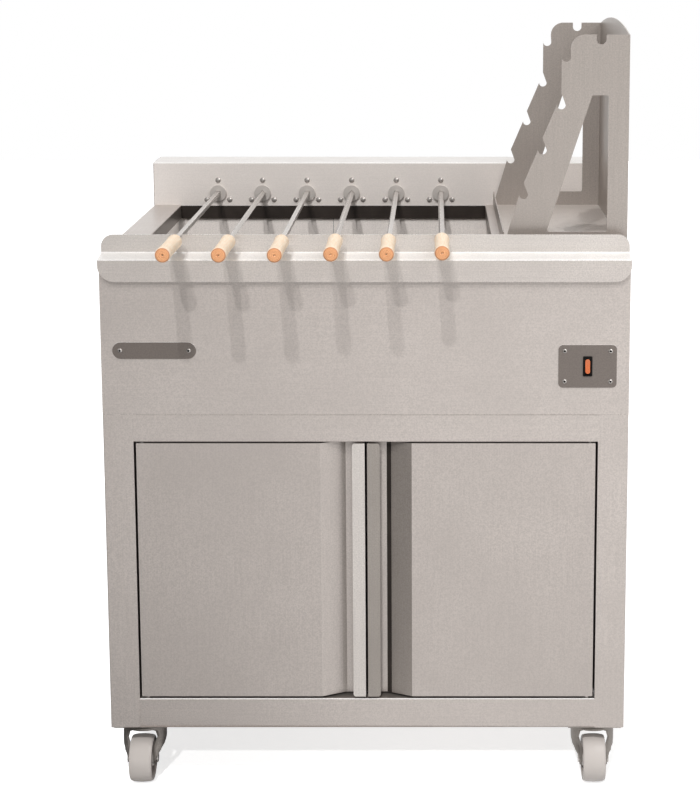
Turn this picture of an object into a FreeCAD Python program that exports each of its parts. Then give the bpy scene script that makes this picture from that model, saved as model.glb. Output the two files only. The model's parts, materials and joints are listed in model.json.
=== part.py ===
"""Charcoal rotisserie grill: cabinet on casters, hearth, driven skewers, drive housing and skewer rack.

Lengths are in millimetres. While it is drawn, X is 0 in the middle of the cabinet, Y is 0 on the
front panel's face and grows towards the back, and Z is 0 on the floor. Every solid is then moved
so that the origin lies under the middle of the whole object's footprint.
"""
import FreeCAD, Part
import math
import os

Vector = FreeCAD.Vector
UP = Vector(0, 0, 1)
BACK = Vector(0, 1, 0)
RIGHT = Vector(1, 0, 0)

# Body
body_width = 870.0
body_depth = 690.0
cabinet_height = 546.0
hearth_height = 267.5
sheet = 1.5
running_clearance = 0.05
body_clearance = 0.5
overcut = 1.0
dome_share = 0.75

# Cabinet frame
post_width = 50.0
tube_wall = 2.0
top_rail_height = 47.0
bottom_rail_height = 52.0
rail_depth = 30.0
panel_recess = 2.0
floor_overlap = 3.0

# Doors
door_depth = 24.0
door_side_gap = 4.0
door_bottom_gap = 4.0
door_top_gap = 2.0
door_middle_gap = 4.0
recess_depth = 20.0
recess_slant_width = 41.0
recess_floor_width = 33.0
pull_width = 21.0
pull_corner = 5.0
hinge_inset_x = 9.0
hinge_inset_y = 8.0
hinge_pin_radius = 3.0
hinge_pin_length = 12.0
hinge_collar_radius = 4.5
hinge_bush_width = 13.0
hinge_bush_height = 11.0
magnet_width = 40.0
magnet_depth = 15.0
magnet_height = 14.0
magnet_offset = 30.0

# Casters
wheel_radius = 40.0
wheel_width = 38.0
caster_height = 105.0
caster_trail = 30.0
caster_inset_x = 49.0
caster_inset_y = 55.0
caster_plate_x = 90.0
caster_plate_y = 100.0
caster_plate_thickness = 3.0
race_radius = 32.0
race_thickness = 5.0
king_pin_radius = 5.0
king_pin_head_radius = 8.0
king_pin_head = 3.0
fork_crown_radius = 37.0
fork_sheet = 3.0
fork_skirt = 14.0
fork_wheel_gap = 1.3
fork_foot_radius = 12.0
axle_radius = 5.0
axle_head_radius = 8.0
axle_head = 3.0
wheel_hub_radius = 15.0
wheel_web = 12.0
wheel_rim = 9.0
tread_edge = 4.0

# Front rest rail
rest_lip_y = -8.0
rest_lip_height = 36.0
rest_drop = 7.5
rest_flange_y = 31.0
rest_flange_height = 29.0
rest_sheet = 2.0
rest_overhang = 1.0
rest_lip_corner = 27.0
rest_flange_corner = 20.0

# Hearth
hearth_left_margin = 53.0
hearth_right_margin = 222.0
hearth_edge_depth = 27.0
liner_gap = 5.0
liner_sheet = 2.0
liner_top_drop = 13.0
liner_seam = 0.6
firebox_drop = 148.0
firebox_ledge = 20.0
firebox_hanger = 15.0
firebox_front_gap = 7.0
grate_thickness = 6.0
grate_gap = 1.0
grate_slot_width = 12.0
grate_slot_pitch = 24.0
grate_border = 24.0

# Ash drawer
drawer_length = 640.0
drawer_front_y = 110.0
drawer_width = 410.0
drawer_height = 55.0
drawer_bottom = 46.0
drawer_sheet = 1.2
drawer_clearance = 2.0
drawer_overlap = 14.0
drawer_grip_length = 130.0
drawer_grip_radius = 5.0
drawer_grip_reach = 26.0
runner_ledge = 17.0

# Drive
drive_depth = 99.0
drive_height = 83.5
spindle_count = 6
spindle_offset = -7.0
spindle_rise = 23.0
gear_module = 3.0
gear_teeth = 29
pinion_teeth = 17
gear_width = 12.0
gear_backlash = 0.3
spindle_disc_radius = 16.0
spindle_disc = 4.0
spindle_shaft_radius = 9.0
socket_depth = 34.0
bearing_flange_radius = 32.0
bearing_flange = 4.5
bearing_body_radius = 18.0
bearing_length = 19.5
bearing_gear_gap = 2.0
screw_circle_radius = 25.5
screw_radius = 3.0
screw_head_radius = 5.5
screw_head = 3.3
screw_length = 12.0
motor_radius = 28.0
motor_length = 31.0
gearbox_width = 66.0
gearbox_height = 60.0
gearbox_depth = 25.0
motor_shaft_radius = 5.0
motor_bracket = 2.0
motor_bracket_width = 84.0
motor_bracket_drop = 34.0
motor_bracket_rise = 22.0
motor_plane_gap = 2.0
vent_slot_width = 4.0
vent_slot_height = 40.0
vent_slot_pitch = 12.0
vent_slot_count = 10

# Skewers
rod_side = 8.0
rod_socket_clearance = 0.3
rod_notch_clearance = 0.35
rod_insertion = 22.0
handle_radius = 12.4
handle_waist_radius = 11.6
handle_length = 144.0
handle_rest_gap = 18.0
handle_rod_depth = 95.0
handle_end_round = 3.0
handle_rear_round = 7.0
skewer_angles = (0.0, 45.0, 4.0, 45.0, 20.0, 24.0)
skewer_pulls = (9.0, 9.0, 9.0, 0.0, 0.0, -11.0)

# Skewer rack
rack_width = 207.0
rack_front_y = 64.0
rack_rear_gap = 14.0
rack_sheet = 2.0
rack_height = 355.0
rack_arch = 18.0
rack_low_wall = 28.0
rack_stand_gap = 0.3
rack_left_top_inset = 112.0
rack_top_start_inset = 74.0
rack_top_round = 23.5
rack_hook_drop = 37.0
rack_hook_radius = 7.7
rack_notch_radius = 7.2
rack_notch_rise = 20.0
rack_notch_first_drop = 115.5
rack_notch_step_x = 30.5
rack_notch_step_z = 74.7
rack_notch_count = 3
rack_u_inset = 47.0
rack_u_radius = 8.2
rack_u_depth = 16.0
rack_leg = 34.0
rack_window_drop = 99.5
rack_window_top_width = 27.0
rack_window_inset = 135.0
rack_window_round = 3.5

# Switch and badge
switch_plate_inset = 69.0
switch_plate_drop = 185.5
switch_plate_width = 96.0
switch_plate_height = 72.0
switch_plate_corner = 7.5
trim_sheet = 1.5
trim_rivet_radius = 4.0
trim_rivet_head = 2.2
switch_rivet_x = 75.5
switch_rivet_z = 51.0
bezel_width = 15.6
bezel_height = 33.4
bezel_frame = 1.6
bezel_flange = 1.6
bezel_depth = 16.0
bezel_wall = 1.3
rocker_gap = 0.35
rocker_end_gap = 1.3
rocker_rise = 1.6
rocker_half_swing = 6.0
rocker_pivot_radius = 1.2
rocker_pivot_y = 3.0
rocker_depth = 5.0
badge_inset = 88.0
badge_drop = 159.0
badge_width = 138.0
badge_height = 28.0
badge_rivet_spacing = 113.0

# Mains gland
gland_inset = 135.0
gland_rise = 60.0
gland_bore_radius = 5.0
gland_thread_radius = 10.0
gland_nut_radius = 14.0
gland_nut = 6.0
gland_cap_length = 18.0
gland_cap_radius = 11.0
gland_cap_wall = 2.0
gland_tail = 14.0

# Levels and places worked out from the sizes above
cabinet_bottom = caster_height
cabinet_top = cabinet_bottom + cabinet_height
hearth_bottom = cabinet_top
rim_top = cabinet_top + hearth_height
rim_under = rim_top - sheet
half_width = body_width / 2
hearth_left = hearth_left_margin - half_width
hearth_right = half_width - hearth_right_margin
drive_face_y = body_depth - drive_depth
rack_left = half_width - rack_width
rack_rear_y = drive_face_y - rack_rear_gap
rack_left_top = half_width - rack_left_top_inset
rack_top_start = half_width - rack_top_start_inset
rack_u_centre = half_width - rack_u_inset
rack_window_left = half_width - rack_window_inset
switch_plate_x = half_width - switch_plate_inset
badge_x = badge_inset - half_width
gland_x = half_width - gland_inset
opening_half = half_width - post_width
opening_bottom = cabinet_bottom + bottom_rail_height
opening_top = cabinet_top - top_rail_height
rest_shelf_front = rim_top - rest_drop
rest_flange_back = rest_flange_y + rest_sheet
rest_flange_top = rim_top + rest_flange_height
spindle_axis_z = rim_top + spindle_rise
spindle_pitch = gear_module * gear_teeth
spindle_middle = (hearth_left + hearth_right) / 2 + spindle_offset
spindle_xs = [spindle_middle + spindle_pitch * (i - (spindle_count - 1) / 2) for i in range(spindle_count)]
drive_top = rim_top + drive_height
face_back = drive_face_y + sheet
edge_bottom = rim_top - hearth_edge_depth
disc_front = drive_face_y - body_clearance - spindle_disc
bearing_back = face_back + bearing_length
gear_front = bearing_back + bearing_gear_gap
gear_back = gear_front + gear_width
liner_left = hearth_left - liner_gap
liner_right = hearth_right + liner_gap
liner_front = rest_flange_back + firebox_front_gap
liner_back = drive_face_y + liner_gap
liner_top = rim_top - liner_top_drop
firebox_bottom = rim_top - firebox_drop
firebox_top = rim_under
drawer_z = cabinet_top + drawer_bottom
drawer_back_y = drawer_front_y + drawer_width
rod_rear = disc_front + rod_insertion
handle_rear = rest_flange_y - handle_rest_gap
handle_front = handle_rear - handle_length
handle_reach = handle_front - max(skewer_pulls)
gland_z = hearth_bottom + gland_rise
motor_x = spindle_xs[-1]
motor_z = spindle_axis_z - gear_module * (gear_teeth + pinion_teeth) / 2
motor_plane = gear_back + motor_plane_gap
caster_x = half_width - caster_inset_x

# The origin lies under the middle of the footprint, drawer grip and gland included
drawer_front_x = -half_width - body_clearance - sheet
left_reach = drawer_front_x - drawer_grip_reach - drawer_grip_radius
right_reach = half_width + rest_overhang
rear_reach = body_depth + gland_nut + gland_cap_length
origin_shift = Vector(-(left_reach + right_reach) / 2, -(handle_reach + rear_reach) / 2, 0)


def box(x_range, y_range, z_range):
    """Block between two X, two Y and two Z values."""
    size = [abs(pair[1] - pair[0]) for pair in (x_range, y_range, z_range)]
    corner = Vector(min(x_range), min(y_range), min(z_range))
    return Part.makeBox(size[0], size[1], size[2], corner)


def rod(start, direction, radius, length):
    """Round bar from a start point along a direction."""
    return Part.makeCylinder(radius, length, start, direction)


def prism(points, plane, start, end):
    """Straight-sided outline in the YZ, XZ or XY plane, drawn out from start to end."""
    place = {
        "yz": lambda u, v: Vector(start, u, v),
        "xz": lambda u, v: Vector(u, start, v),
        "xy": lambda u, v: Vector(u, v, start),
    }[plane]
    direction = {"yz": RIGHT, "xz": BACK, "xy": UP}[plane]
    corners = [place(u, v) for u, v in points]
    face = Part.Face(Part.makePolygon(corners + corners[:1]))
    return face.extrude(direction * (end - start))


def folded(points, thickness):
    """Outline of a folded sheet: the path given, and the same path one thickness to its left."""
    normals = []
    for (u0, v0), (u1, v1) in zip(points, points[1:]):
        length = math.hypot(u1 - u0, v1 - v0)
        normals.append((-(v1 - v0) / length, (u1 - u0) / length))
    inner = []
    for index, (u, v) in enumerate(points):
        before = normals[max(index - 1, 0)]
        after = normals[min(index, len(normals) - 1)]
        share = thickness / (1 + before[0] * after[0] + before[1] * after[1])
        inner.append((u + share * (before[0] + after[0]), v + share * (before[1] + after[1])))
    return points + inner[::-1]


def rounded_plate(centre_x, centre_z, width, height, radius, y_range):
    """Upright plate with four round corners."""
    x_range = (centre_x - width / 2, centre_x + width / 2)
    z_range = (centre_z - height / 2, centre_z + height / 2)
    block = box(x_range, y_range, z_range)
    edges = [edge for edge in block.Edges if abs(edge.tangentAt(edge.FirstParameter).y) > 0.9]
    return block.makeFillet(min(radius, height / 2 - 0.01, width / 2 - 0.01), edges)


def trim_rivet(x, z, y):
    """Domed rivet head that stands on a trim plate, facing the front."""
    disc = rod(Vector(x, y, z), -BACK, trim_rivet_radius, trim_rivet_head)
    return disc.makeFillet(trim_rivet_head * dome_share, [front_edge(disc, y - trim_rivet_head)])


def front_edge(shape, y):
    """The round edge of a shape that lies at one Y."""
    return [edge for edge in shape.Edges if edge.Closed and abs(edge.CenterOfMass.y - y) < 1e-3][0]


def write(node, *solids):
    """Move the solids to the final origin and write them as one node."""
    group = Part.makeCompound(list(solids))
    group.translate(origin_shift)
    group.exportStep(f"parts/{node}.step")


def mirrored(shape):
    """The same shape on the other side of the middle plane."""
    return shape.mirror(Vector(0, 0, 0), RIGHT)


def tube(x_range, y_range, z_range, axis):
    """Square tube, open at both ends, along the X, Y or Z axis."""
    ranges = [x_range, y_range, z_range]
    inner = [(low + tube_wall, high - tube_wall) for low, high in ranges]
    inner["xyz".index(axis)] = ranges["xyz".index(axis)]
    return box(*ranges).cut(box(*inner))


def cabinet_frame():
    """Four posts, and a top and a bottom rail on each side between them."""
    rear = body_depth - post_width
    side = half_width - rail_depth
    posts = []
    for y in (0.0, rear):
        post = tube((opening_half, half_width), (y, y + post_width), (cabinet_bottom, cabinet_top), "z")
        posts += [post, mirrored(post)]
    rails = []
    for z_range in ((cabinet_bottom, opening_bottom), (opening_top, cabinet_top)):
        rails.append(tube((-opening_half, opening_half), (0, rail_depth), z_range, "x"))
        rails.append(tube((-opening_half, opening_half), (body_depth - rail_depth, body_depth), z_range, "x"))
        rail = tube((side, half_width), (post_width, rear), z_range, "y")
        rails += [rail, mirrored(rail)]
    return posts + rails


def cabinet_panels():
    """Side panels, back panel and floor that close the cabinet."""
    outer = half_width - panel_recess
    z_range = (opening_bottom, opening_top)
    side = box((outer - sheet, outer), (post_width, body_depth - post_width), z_range)
    back_y = body_depth - panel_recess
    back = box((-opening_half, opening_half), (back_y - sheet, back_y), z_range)
    y_range = (rail_depth - floor_overlap, back_y - sheet)
    floor = box((-opening_half, opening_half), y_range, (opening_bottom, opening_bottom + sheet))
    write("side_panels", side, mirrored(side))
    write("back_panel", back)
    write("cabinet_floor", floor)


def door_levels():
    """Bottom and top of a door."""
    return opening_bottom + door_bottom_gap, opening_top - door_top_gap


def door_hinge_point():
    """X and Y of the left door's upright pivot line."""
    return -opening_half + door_side_gap + hinge_inset_x, hinge_inset_y


def left_door():
    """Skin with its slanted finger recess, pull strip and two hinge bushes."""
    bottom, top = door_levels()
    outer_x = -opening_half + door_side_gap
    inner_x = -door_middle_gap / 2
    floor_x = inner_x - recess_floor_width
    face = [(outer_x, 0), (floor_x - recess_slant_width, 0), (floor_x, recess_depth), (inner_x, recess_depth)]
    skin = prism(face + [(inner_x, door_depth), (outer_x, door_depth)], "xy", bottom, top)
    inner = folded(face, sheet)[len(face):][::-1]
    hollow = [(outer_x + sheet, inner[0][1])] + inner[1:-1] + [(inner_x - sheet, inner[-1][1])]
    hollow += [(inner_x - sheet, door_depth + sheet), (outer_x + sheet, door_depth + sheet)]
    skin = skin.cut(prism(hollow, "xy", bottom + sheet, top - sheet))
    strip = [(inner_x, recess_depth), (inner_x, 0), (inner_x - pull_width, 0)]
    pull = prism(folded(strip, sheet), "xy", bottom, top)
    edges = [edge for edge in pull.Edges if corner_of_pull(edge, inner_x - pull_width, (bottom, top))]
    pull = pull.makeFillet(pull_corner, edges)
    pin_x, pin_y = door_hinge_point()
    half = hinge_bush_width / 2
    bushes = []
    for z_range in ((bottom + sheet, bottom + sheet + hinge_bush_height),
                    (top - sheet - hinge_bush_height, top - sheet)):
        bushes.append(box((pin_x - half, pin_x + half), (pin_y - half, pin_y + half), z_range))
    start = Vector(pin_x, pin_y, bottom - overcut)
    bore = rod(start, UP, hinge_pin_radius + running_clearance, top - bottom + 2 * overcut)
    return [skin.cut(bore), pull] + [bush.cut(bore) for bush in bushes]


def corner_of_pull(edge, x, levels):
    """Whether an edge is a short corner of the pull strip's free side."""
    centre = edge.CenterOfMass
    at_end = min(abs(centre.z - level) for level in levels) < 1e-3
    return at_end and abs(centre.x - x) < 1e-3 and edge.Length < 2 * sheet


def door_fittings():
    """Hinge pins with collars on the rails, and the magnets under the top rail."""
    bottom, top = door_levels()
    pin_x, pin_y = door_hinge_point()
    pins = []
    for seat, edge, direction in ((opening_bottom, bottom, UP), (opening_top, top, -UP)):
        collar_length = abs(edge - seat) - body_clearance / 2
        start = Vector(pin_x, pin_y, seat)
        pin = rod(start, direction, hinge_pin_radius, abs(edge - seat) + hinge_pin_length)
        pin = pin.fuse(rod(start, direction, hinge_collar_radius, collar_length))
        pins += [pin, mirrored(pin)]
    magnet_y = door_depth + body_clearance
    x_range = (magnet_offset - magnet_width / 2, magnet_offset + magnet_width / 2)
    magnet = box(x_range, (magnet_y, magnet_y + magnet_depth), (opening_top - magnet_height, opening_top))
    write("hinge_pins", *pins)
    write("door_magnets", magnet, mirrored(magnet))


def front_panel():
    """Upper body's front sheet with a bottom return and the switch opening."""
    panel = box((-half_width, half_width), (0, sheet), (hearth_bottom, rest_shelf_front - rest_sheet))
    inner = half_width - sheet
    panel = panel.fuse(box((-inner, inner), (sheet, rail_depth), (hearth_bottom, hearth_bottom + sheet)))
    centre_z = rim_top - switch_plate_drop
    x_range, z_range = switch_opening(centre_z)
    return panel.cut(box(x_range, (-overcut, rail_depth), z_range))


def switch_opening(centre_z):
    """X and Z ranges of the hole that the rocker bezel's body fills."""
    half_x = bezel_width / 2 - bezel_frame
    half_z = bezel_height / 2 - bezel_frame
    return (switch_plate_x - half_x, switch_plate_x + half_x), (centre_z - half_z, centre_z + half_z)


def body_side(inner_edge, drawer_opening):
    """Upper body side: outer wall, flat top and turned-down hearth edge, as for the right side."""
    wall_x = half_width - sheet
    rear = body_depth - sheet
    front_top = rest_shelf_front - rest_sheet
    outline = [(sheet, hearth_bottom), (rear, hearth_bottom), (rear, rim_top),
               (rest_flange_back, rim_top), (rest_flange_back, front_top), (sheet, front_top)]
    wall = prism(outline, "yz", wall_x, half_width)
    if drawer_opening:
        gap = drawer_clearance
        wall = wall.cut(box((wall_x - overcut, half_width + overcut),
                            (drawer_front_y - gap, drawer_back_y + gap),
                            (drawer_z - gap, drawer_z + drawer_height + gap)))
    top = box((inner_edge, wall_x), (rest_flange_back, drive_face_y), (rim_under, rim_top))
    edge_front = liner_front + body_clearance
    edge = box((inner_edge, inner_edge + sheet), (edge_front, drive_face_y), (edge_bottom, rim_under))
    return wall.fuse([top, edge]).removeSplitter()


def rear_panel():
    """Upper body's rear sheet with vent slots and the gland hole."""
    y_range = (body_depth - sheet, body_depth)
    panel = box((-half_width, half_width), y_range, (hearth_bottom, rim_top))
    for index in range(vent_slot_count):
        x = motor_x - vent_slot_pitch * (index - (vent_slot_count - 1) / 2)
        x_range = (x - vent_slot_width / 2, x + vent_slot_width / 2)
        z_range = (motor_z - vent_slot_height / 2, motor_z + vent_slot_height / 2)
        panel = panel.cut(box(x_range, (y_range[0] - overcut, y_range[1] + overcut), z_range))
    start = Vector(gland_x, y_range[0] - overcut, gland_z)
    return panel.cut(rod(start, BACK, gland_thread_radius + running_clearance, sheet + 2 * overcut))


def front_rest():
    """Lip, rising shelf and upright flange in one sheet, notched for the skewers."""
    path = [(rest_lip_y, rest_shelf_front - rest_lip_height), (rest_lip_y, rest_shelf_front),
            (rest_flange_y, rim_top), (rest_flange_y, rest_flange_top)]
    reach = half_width + rest_overhang
    rest = prism(folded(path, -rest_sheet), "yz", -reach, reach)
    y_range = (rest_flange_y - overcut, rest_flange_back + overcut)
    rest = rest.cut(corner_waste(half_width, rest_flange_top, rest_flange_corner, y_range, 1))
    y_range = (rest_lip_y - overcut, rest_lip_y + rest_sheet + overcut)
    lip_bottom = rest_shelf_front - rest_lip_height
    rest = rest.cut(corner_waste(reach, lip_bottom, rest_lip_corner, y_range, -1))
    notch = rod_side / math.sqrt(2) + rod_notch_clearance
    for x in spindle_xs:
        slot = box((x - notch, x + notch), (rest_flange_y - overcut, rest_flange_back + overcut),
                   (spindle_axis_z, rest_flange_top + overcut))
        start = Vector(x, rest_flange_y - overcut, spindle_axis_z)
        rest = rest.cut(slot.fuse(rod(start, BACK, notch, rest_sheet + 2 * overcut)))
    return rest


def corner_waste(x, z, radius, y_range, side):
    """What rounding takes from a plate's left and right corners: side is 1 at its top, -1 at its bottom."""
    z_range = (z - side * radius, z + side * radius)
    block = box((x - radius, x + radius), y_range, z_range)
    centre = Vector(x - radius, y_range[0], z - side * radius)
    waste = block.cut(rod(centre, BACK, radius, y_range[1] - y_range[0]))
    waste = waste.cut(box((x - radius - overcut, x - radius), y_range, z_range))
    return waste.fuse(mirrored(waste))


def firebox_shell():
    """Four walls under the hearth edges, with a ledge for the grate and hangers under the rims."""
    left, right = liner_left - liner_sheet - sheet, liner_right + liner_sheet + sheet
    front, back = liner_front - liner_sheet - sheet, liner_back + liner_sheet + sheet
    shell = box((left, right), (front, back), (firebox_bottom, firebox_top))
    inside = box((left + sheet, right - sheet), (front + sheet, back - sheet),
                 (firebox_bottom + sheet, firebox_top + overcut))
    ledge = firebox_ledge + sheet
    well = box((left + ledge, right - ledge), (front + ledge, back - ledge),
               (firebox_bottom - overcut, firebox_top))
    shell = shell.cut(inside.fuse(well))
    hangers = []
    y_range = (rest_flange_back + firebox_hanger, drive_face_y)
    z_range = (firebox_top - sheet, firebox_top)
    for x, outer in ((left, left - firebox_hanger), (right, right + firebox_hanger)):
        hangers.append(box((outer, x), y_range, z_range))
    return shell.fuse(hangers).removeSplitter()


def firebox_liners():
    """Loose liner plates on the ledge: two sides, a front and a rear in two halves."""
    z_range = (firebox_bottom + sheet, liner_top)
    y_range = (liner_front - liner_sheet, liner_back + liner_sheet)
    sides = [box((liner_left - liner_sheet, liner_left), y_range, z_range),
             box((liner_right, liner_right + liner_sheet), y_range, z_range)]
    front = box((liner_left, liner_right), (liner_front - liner_sheet, liner_front), z_range)
    middle = (liner_left + liner_right) / 2
    halves = []
    for x_range in ((liner_left, middle - liner_seam / 2), (middle + liner_seam / 2, liner_right)):
        halves.append(box(x_range, (liner_back, liner_back + liner_sheet), z_range))
    return sides + [front] + halves


def charcoal_grate():
    """Slotted plate on the firebox ledge, inside the liners."""
    x_range = (liner_left + grate_gap, liner_right - grate_gap)
    y_range = (liner_front + grate_gap, liner_back - grate_gap)
    z_range = (firebox_bottom + sheet, firebox_bottom + sheet + grate_thickness)
    grate = box(x_range, y_range, z_range)
    clear = x_range[1] - x_range[0] - 2 * grate_border
    count = int((clear - grate_slot_width) // grate_slot_pitch) + 1
    middle_x = (x_range[0] + x_range[1]) / 2
    middle_y = (y_range[0] + y_range[1]) / 2
    slots = []
    for index in range(count):
        x = middle_x + grate_slot_pitch * (index - (count - 1) / 2)
        slot_x = (x - grate_slot_width / 2, x + grate_slot_width / 2)
        for slot_y in ((y_range[0] + grate_border, middle_y - grate_slot_width),
                       (middle_y + grate_slot_width, y_range[1] - grate_border)):
            slots.append(box(slot_x, slot_y, (z_range[0] - overcut, z_range[1] + overcut)))
    return grate.cut(slots)


def ash_drawer():
    """Ash pan, its front with a bar grip, and the two runners that carry it."""
    x_range = (drawer_front_x + sheet, drawer_front_x + sheet + drawer_length)
    y_range = (drawer_front_y, drawer_back_y)
    z_range = (drawer_z, drawer_z + drawer_height)
    t = drawer_sheet
    pan = box(x_range, y_range, z_range)
    pan = pan.cut(box((x_range[0] + t, x_range[1] - t), (y_range[0] + t, y_range[1] - t),
                      (z_range[0] + t, z_range[1] + overcut)))
    lap = drawer_overlap
    front = box((drawer_front_x, drawer_front_x + sheet), (y_range[0] - lap, y_range[1] + lap),
                (z_range[0] - lap, z_range[1] + lap))
    middle_y = (y_range[0] + y_range[1]) / 2
    middle_z = (z_range[0] + z_range[1]) / 2
    grip_x = drawer_front_x - drawer_grip_reach
    grip = rod(Vector(grip_x, middle_y - drawer_grip_length / 2, middle_z), BACK, drawer_grip_radius,
               drawer_grip_length)
    for side in (-1, 1):
        y = middle_y + side * (drawer_grip_length / 2 - 2 * drawer_grip_radius)
        grip = grip.fuse(rod(Vector(grip_x, y, middle_z), RIGHT, drawer_grip_radius * 0.8, drawer_grip_reach))
    gap = body_clearance
    runner_x = (-half_width + sheet, liner_right)
    upright_y = y_range[0] - gap
    path = [(upright_y, firebox_bottom), (upright_y, drawer_z - gap),
            (upright_y + runner_ledge, drawer_z - gap)]
    runner = prism(folded(path, -sheet), "yz", runner_x[0], runner_x[1])
    other = runner.mirror(Vector(0, middle_y, 0), BACK)
    write("ash_drawer_pan", pan)
    write("ash_drawer_front", front, grip)
    write("drawer_runners", runner, other)


def screw_points():
    """Where each bearing's three screws sit round its spindle."""
    points = []
    for x in spindle_xs:
        for turn in (90, 210, 330):
            angle = math.radians(turn)
            points.append((x + screw_circle_radius * math.cos(angle),
                           spindle_axis_z + screw_circle_radius * math.sin(angle)))
    return points


def drive_face():
    """Upright sheet between hearth and drive, bored for the spindles and their screws."""
    y_range = (drive_face_y, face_back)
    face = box((-half_width + sheet, half_width - sheet), y_range, (rim_under, drive_top - sheet))
    face = face.fuse(box((hearth_left, hearth_right), y_range, (edge_bottom, rim_under))).removeSplitter()
    holes = [(x, spindle_axis_z, spindle_shaft_radius + body_clearance) for x in spindle_xs]
    holes += [(x, z, screw_radius + running_clearance) for x, z in screw_points()]
    return face.cut([rod(Vector(x, drive_face_y - overcut, z), BACK, radius, sheet + 2 * overcut)
                     for x, z, radius in holes])


def drive_cover():
    """Top, rear and ends of the drive housing in one folded sheet."""
    outer = box((-half_width, half_width), (drive_face_y, body_depth), (rim_top, drive_top))
    inner = box((-half_width + sheet, half_width - sheet), (drive_face_y - overcut, body_depth - sheet),
                (rim_top - overcut, drive_top - sheet))
    return outer.cut(inner)


def bearings():
    """Flanged bearing housings behind the face and the screws that hold them."""
    housings = []
    hole_radius = screw_radius + running_clearance
    screw_holes = [rod(Vector(x, face_back - overcut, z), BACK, hole_radius, screw_length)
                   for x, z in screw_points()]
    for x in spindle_xs:
        centre = Vector(x, face_back, spindle_axis_z)
        housing = rod(centre, BACK, bearing_flange_radius, bearing_flange)
        housing = housing.fuse(rod(centre, BACK, bearing_body_radius, bearing_length))
        bore = rod(centre - BACK * overcut, BACK, spindle_shaft_radius + running_clearance,
                   bearing_length + 2 * overcut)
        housings.append(housing.cut([bore] + screw_holes))
    screws = []
    for x, z in screw_points():
        head = rod(Vector(x, drive_face_y, z), -BACK, screw_head_radius, screw_head)
        head = head.makeFillet(screw_head * dome_share, [front_edge(head, drive_face_y - screw_head)])
        screws.append(head.fuse(rod(Vector(x, drive_face_y, z), BACK, screw_radius, screw_length - sheet)))
    write("bearing_housings", *housings)
    write("bearing_screws", *screws)


def involute_point(base_radius, radius, start_angle, side):
    """Point of an involute flank at a radius, turned to start_angle; side is 1 or -1."""
    roll = math.sqrt(max((radius / base_radius) ** 2 - 1, 0))
    angle = start_angle + side * (roll - math.atan(roll))
    return radius * math.cos(angle), radius * math.sin(angle)


def gear(teeth, turn, centre, width):
    """Spur gear in the XZ plane with a tooth's middle at the angle turn, thickness along Y."""
    pressure = math.radians(20)
    pitch_radius = gear_module * teeth / 2
    base_radius = pitch_radius * math.cos(pressure)
    tip_radius = pitch_radius + gear_module
    root_radius = pitch_radius - 1.25 * gear_module
    flank_start = max(base_radius, root_radius)
    half_tooth = math.pi / (2 * teeth) - gear_backlash / (4 * pitch_radius)
    half_base = half_tooth + math.tan(pressure) - pressure
    radii = [flank_start + (tip_radius - flank_start) * step / 3 for step in range(4)]
    points = []
    for tooth in range(teeth):
        middle = turn + 2 * math.pi * tooth / teeth
        start = middle - half_base
        points.append((root_radius * math.cos(start), root_radius * math.sin(start)))
        points += [involute_point(base_radius, radius, start, 1) for radius in radii]
        end = middle + half_base
        points += [involute_point(base_radius, radius, end, -1) for radius in radii[::-1]]
        points.append((root_radius * math.cos(end), root_radius * math.sin(end)))
    outline = [(centre.x + u, centre.z + v) for u, v in points]
    return prism(outline, "xz", centre.y, centre.y + width)


def square_bar(x, z, side, turn, y_range):
    """Square bar along Y, turned about its own axis by an angle in degrees."""
    bar = box((x - side / 2, x + side / 2), y_range, (z - side / 2, z + side / 2))
    bar.rotate(Vector(x, 0, z), BACK, turn)
    return bar


def spindle(index):
    """Turned spindle with a square socket, and the gear keyed on its rear end."""
    x = spindle_xs[index]
    axis = Vector(x, disc_front, spindle_axis_z)
    body = rod(axis, BACK, spindle_disc_radius, spindle_disc)
    body = body.fuse(rod(axis, BACK, spindle_shaft_radius, gear_back - disc_front))
    side = rod_side + 2 * rod_socket_clearance
    y_range = (disc_front - overcut, disc_front + socket_depth)
    socket = square_bar(x, spindle_axis_z, side, skewer_angles[index], y_range)
    wheel = gear(gear_teeth, 0.0, Vector(x, gear_front, spindle_axis_z), gear_width)
    start = Vector(x, gear_front - overcut, spindle_axis_z)
    wheel = wheel.cut(rod(start, BACK, spindle_shaft_radius, gear_width + 2 * overcut))
    return [body.cut(socket), wheel]


def skewer_handle(x, pull):
    """Turned wooden handle with a slight waist and round ends, pulled out a little from its usual place."""
    y0, y1 = handle_front - pull, handle_rear - pull
    r, front_round, rear_round = handle_radius, handle_end_round, handle_rear_round
    waist = Part.Arc(Vector(r, y0 + front_round, 0), Vector(handle_waist_radius, (y0 + y1) / 2, 0),
                     Vector(r, y1 - rear_round, 0))
    profile = [straight((0, y0), (r - front_round, y0)),
               arc((r - front_round, y0), (r, y0 + front_round), front_round),
               waist.toShape(),
               arc((r, y1 - rear_round), (r - rear_round, y1), rear_round),
               straight((r - rear_round, y1), (0, y1)),
               straight((0, y1), (0, y0))]
    handle = Part.Face(Part.Wire(profile)).revolve(Vector(0, 0, 0), BACK, 360)
    handle.translate(Vector(x, 0, spindle_axis_z))
    return handle


def straight(start, end):
    """Straight edge in the XY plane."""
    return Part.LineSegment(Vector(start[0], start[1], 0), Vector(end[0], end[1], 0)).toShape()


def arc(start, end, radius):
    """Quarter circle that bulges away from the axis, in the XY plane."""
    bulge = radius * (1 - math.sqrt(0.5))
    corner = (max(start[0], end[0]), start[1] if start[0] < end[0] else end[1])
    inward = 1 if corner[1] == start[1] else -1
    middle = (corner[0] - bulge, corner[1] + inward * bulge)
    points = [Vector(u, v, 0) for u, v in (start, middle, end)]
    return Part.Arc(*points).toShape()


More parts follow.
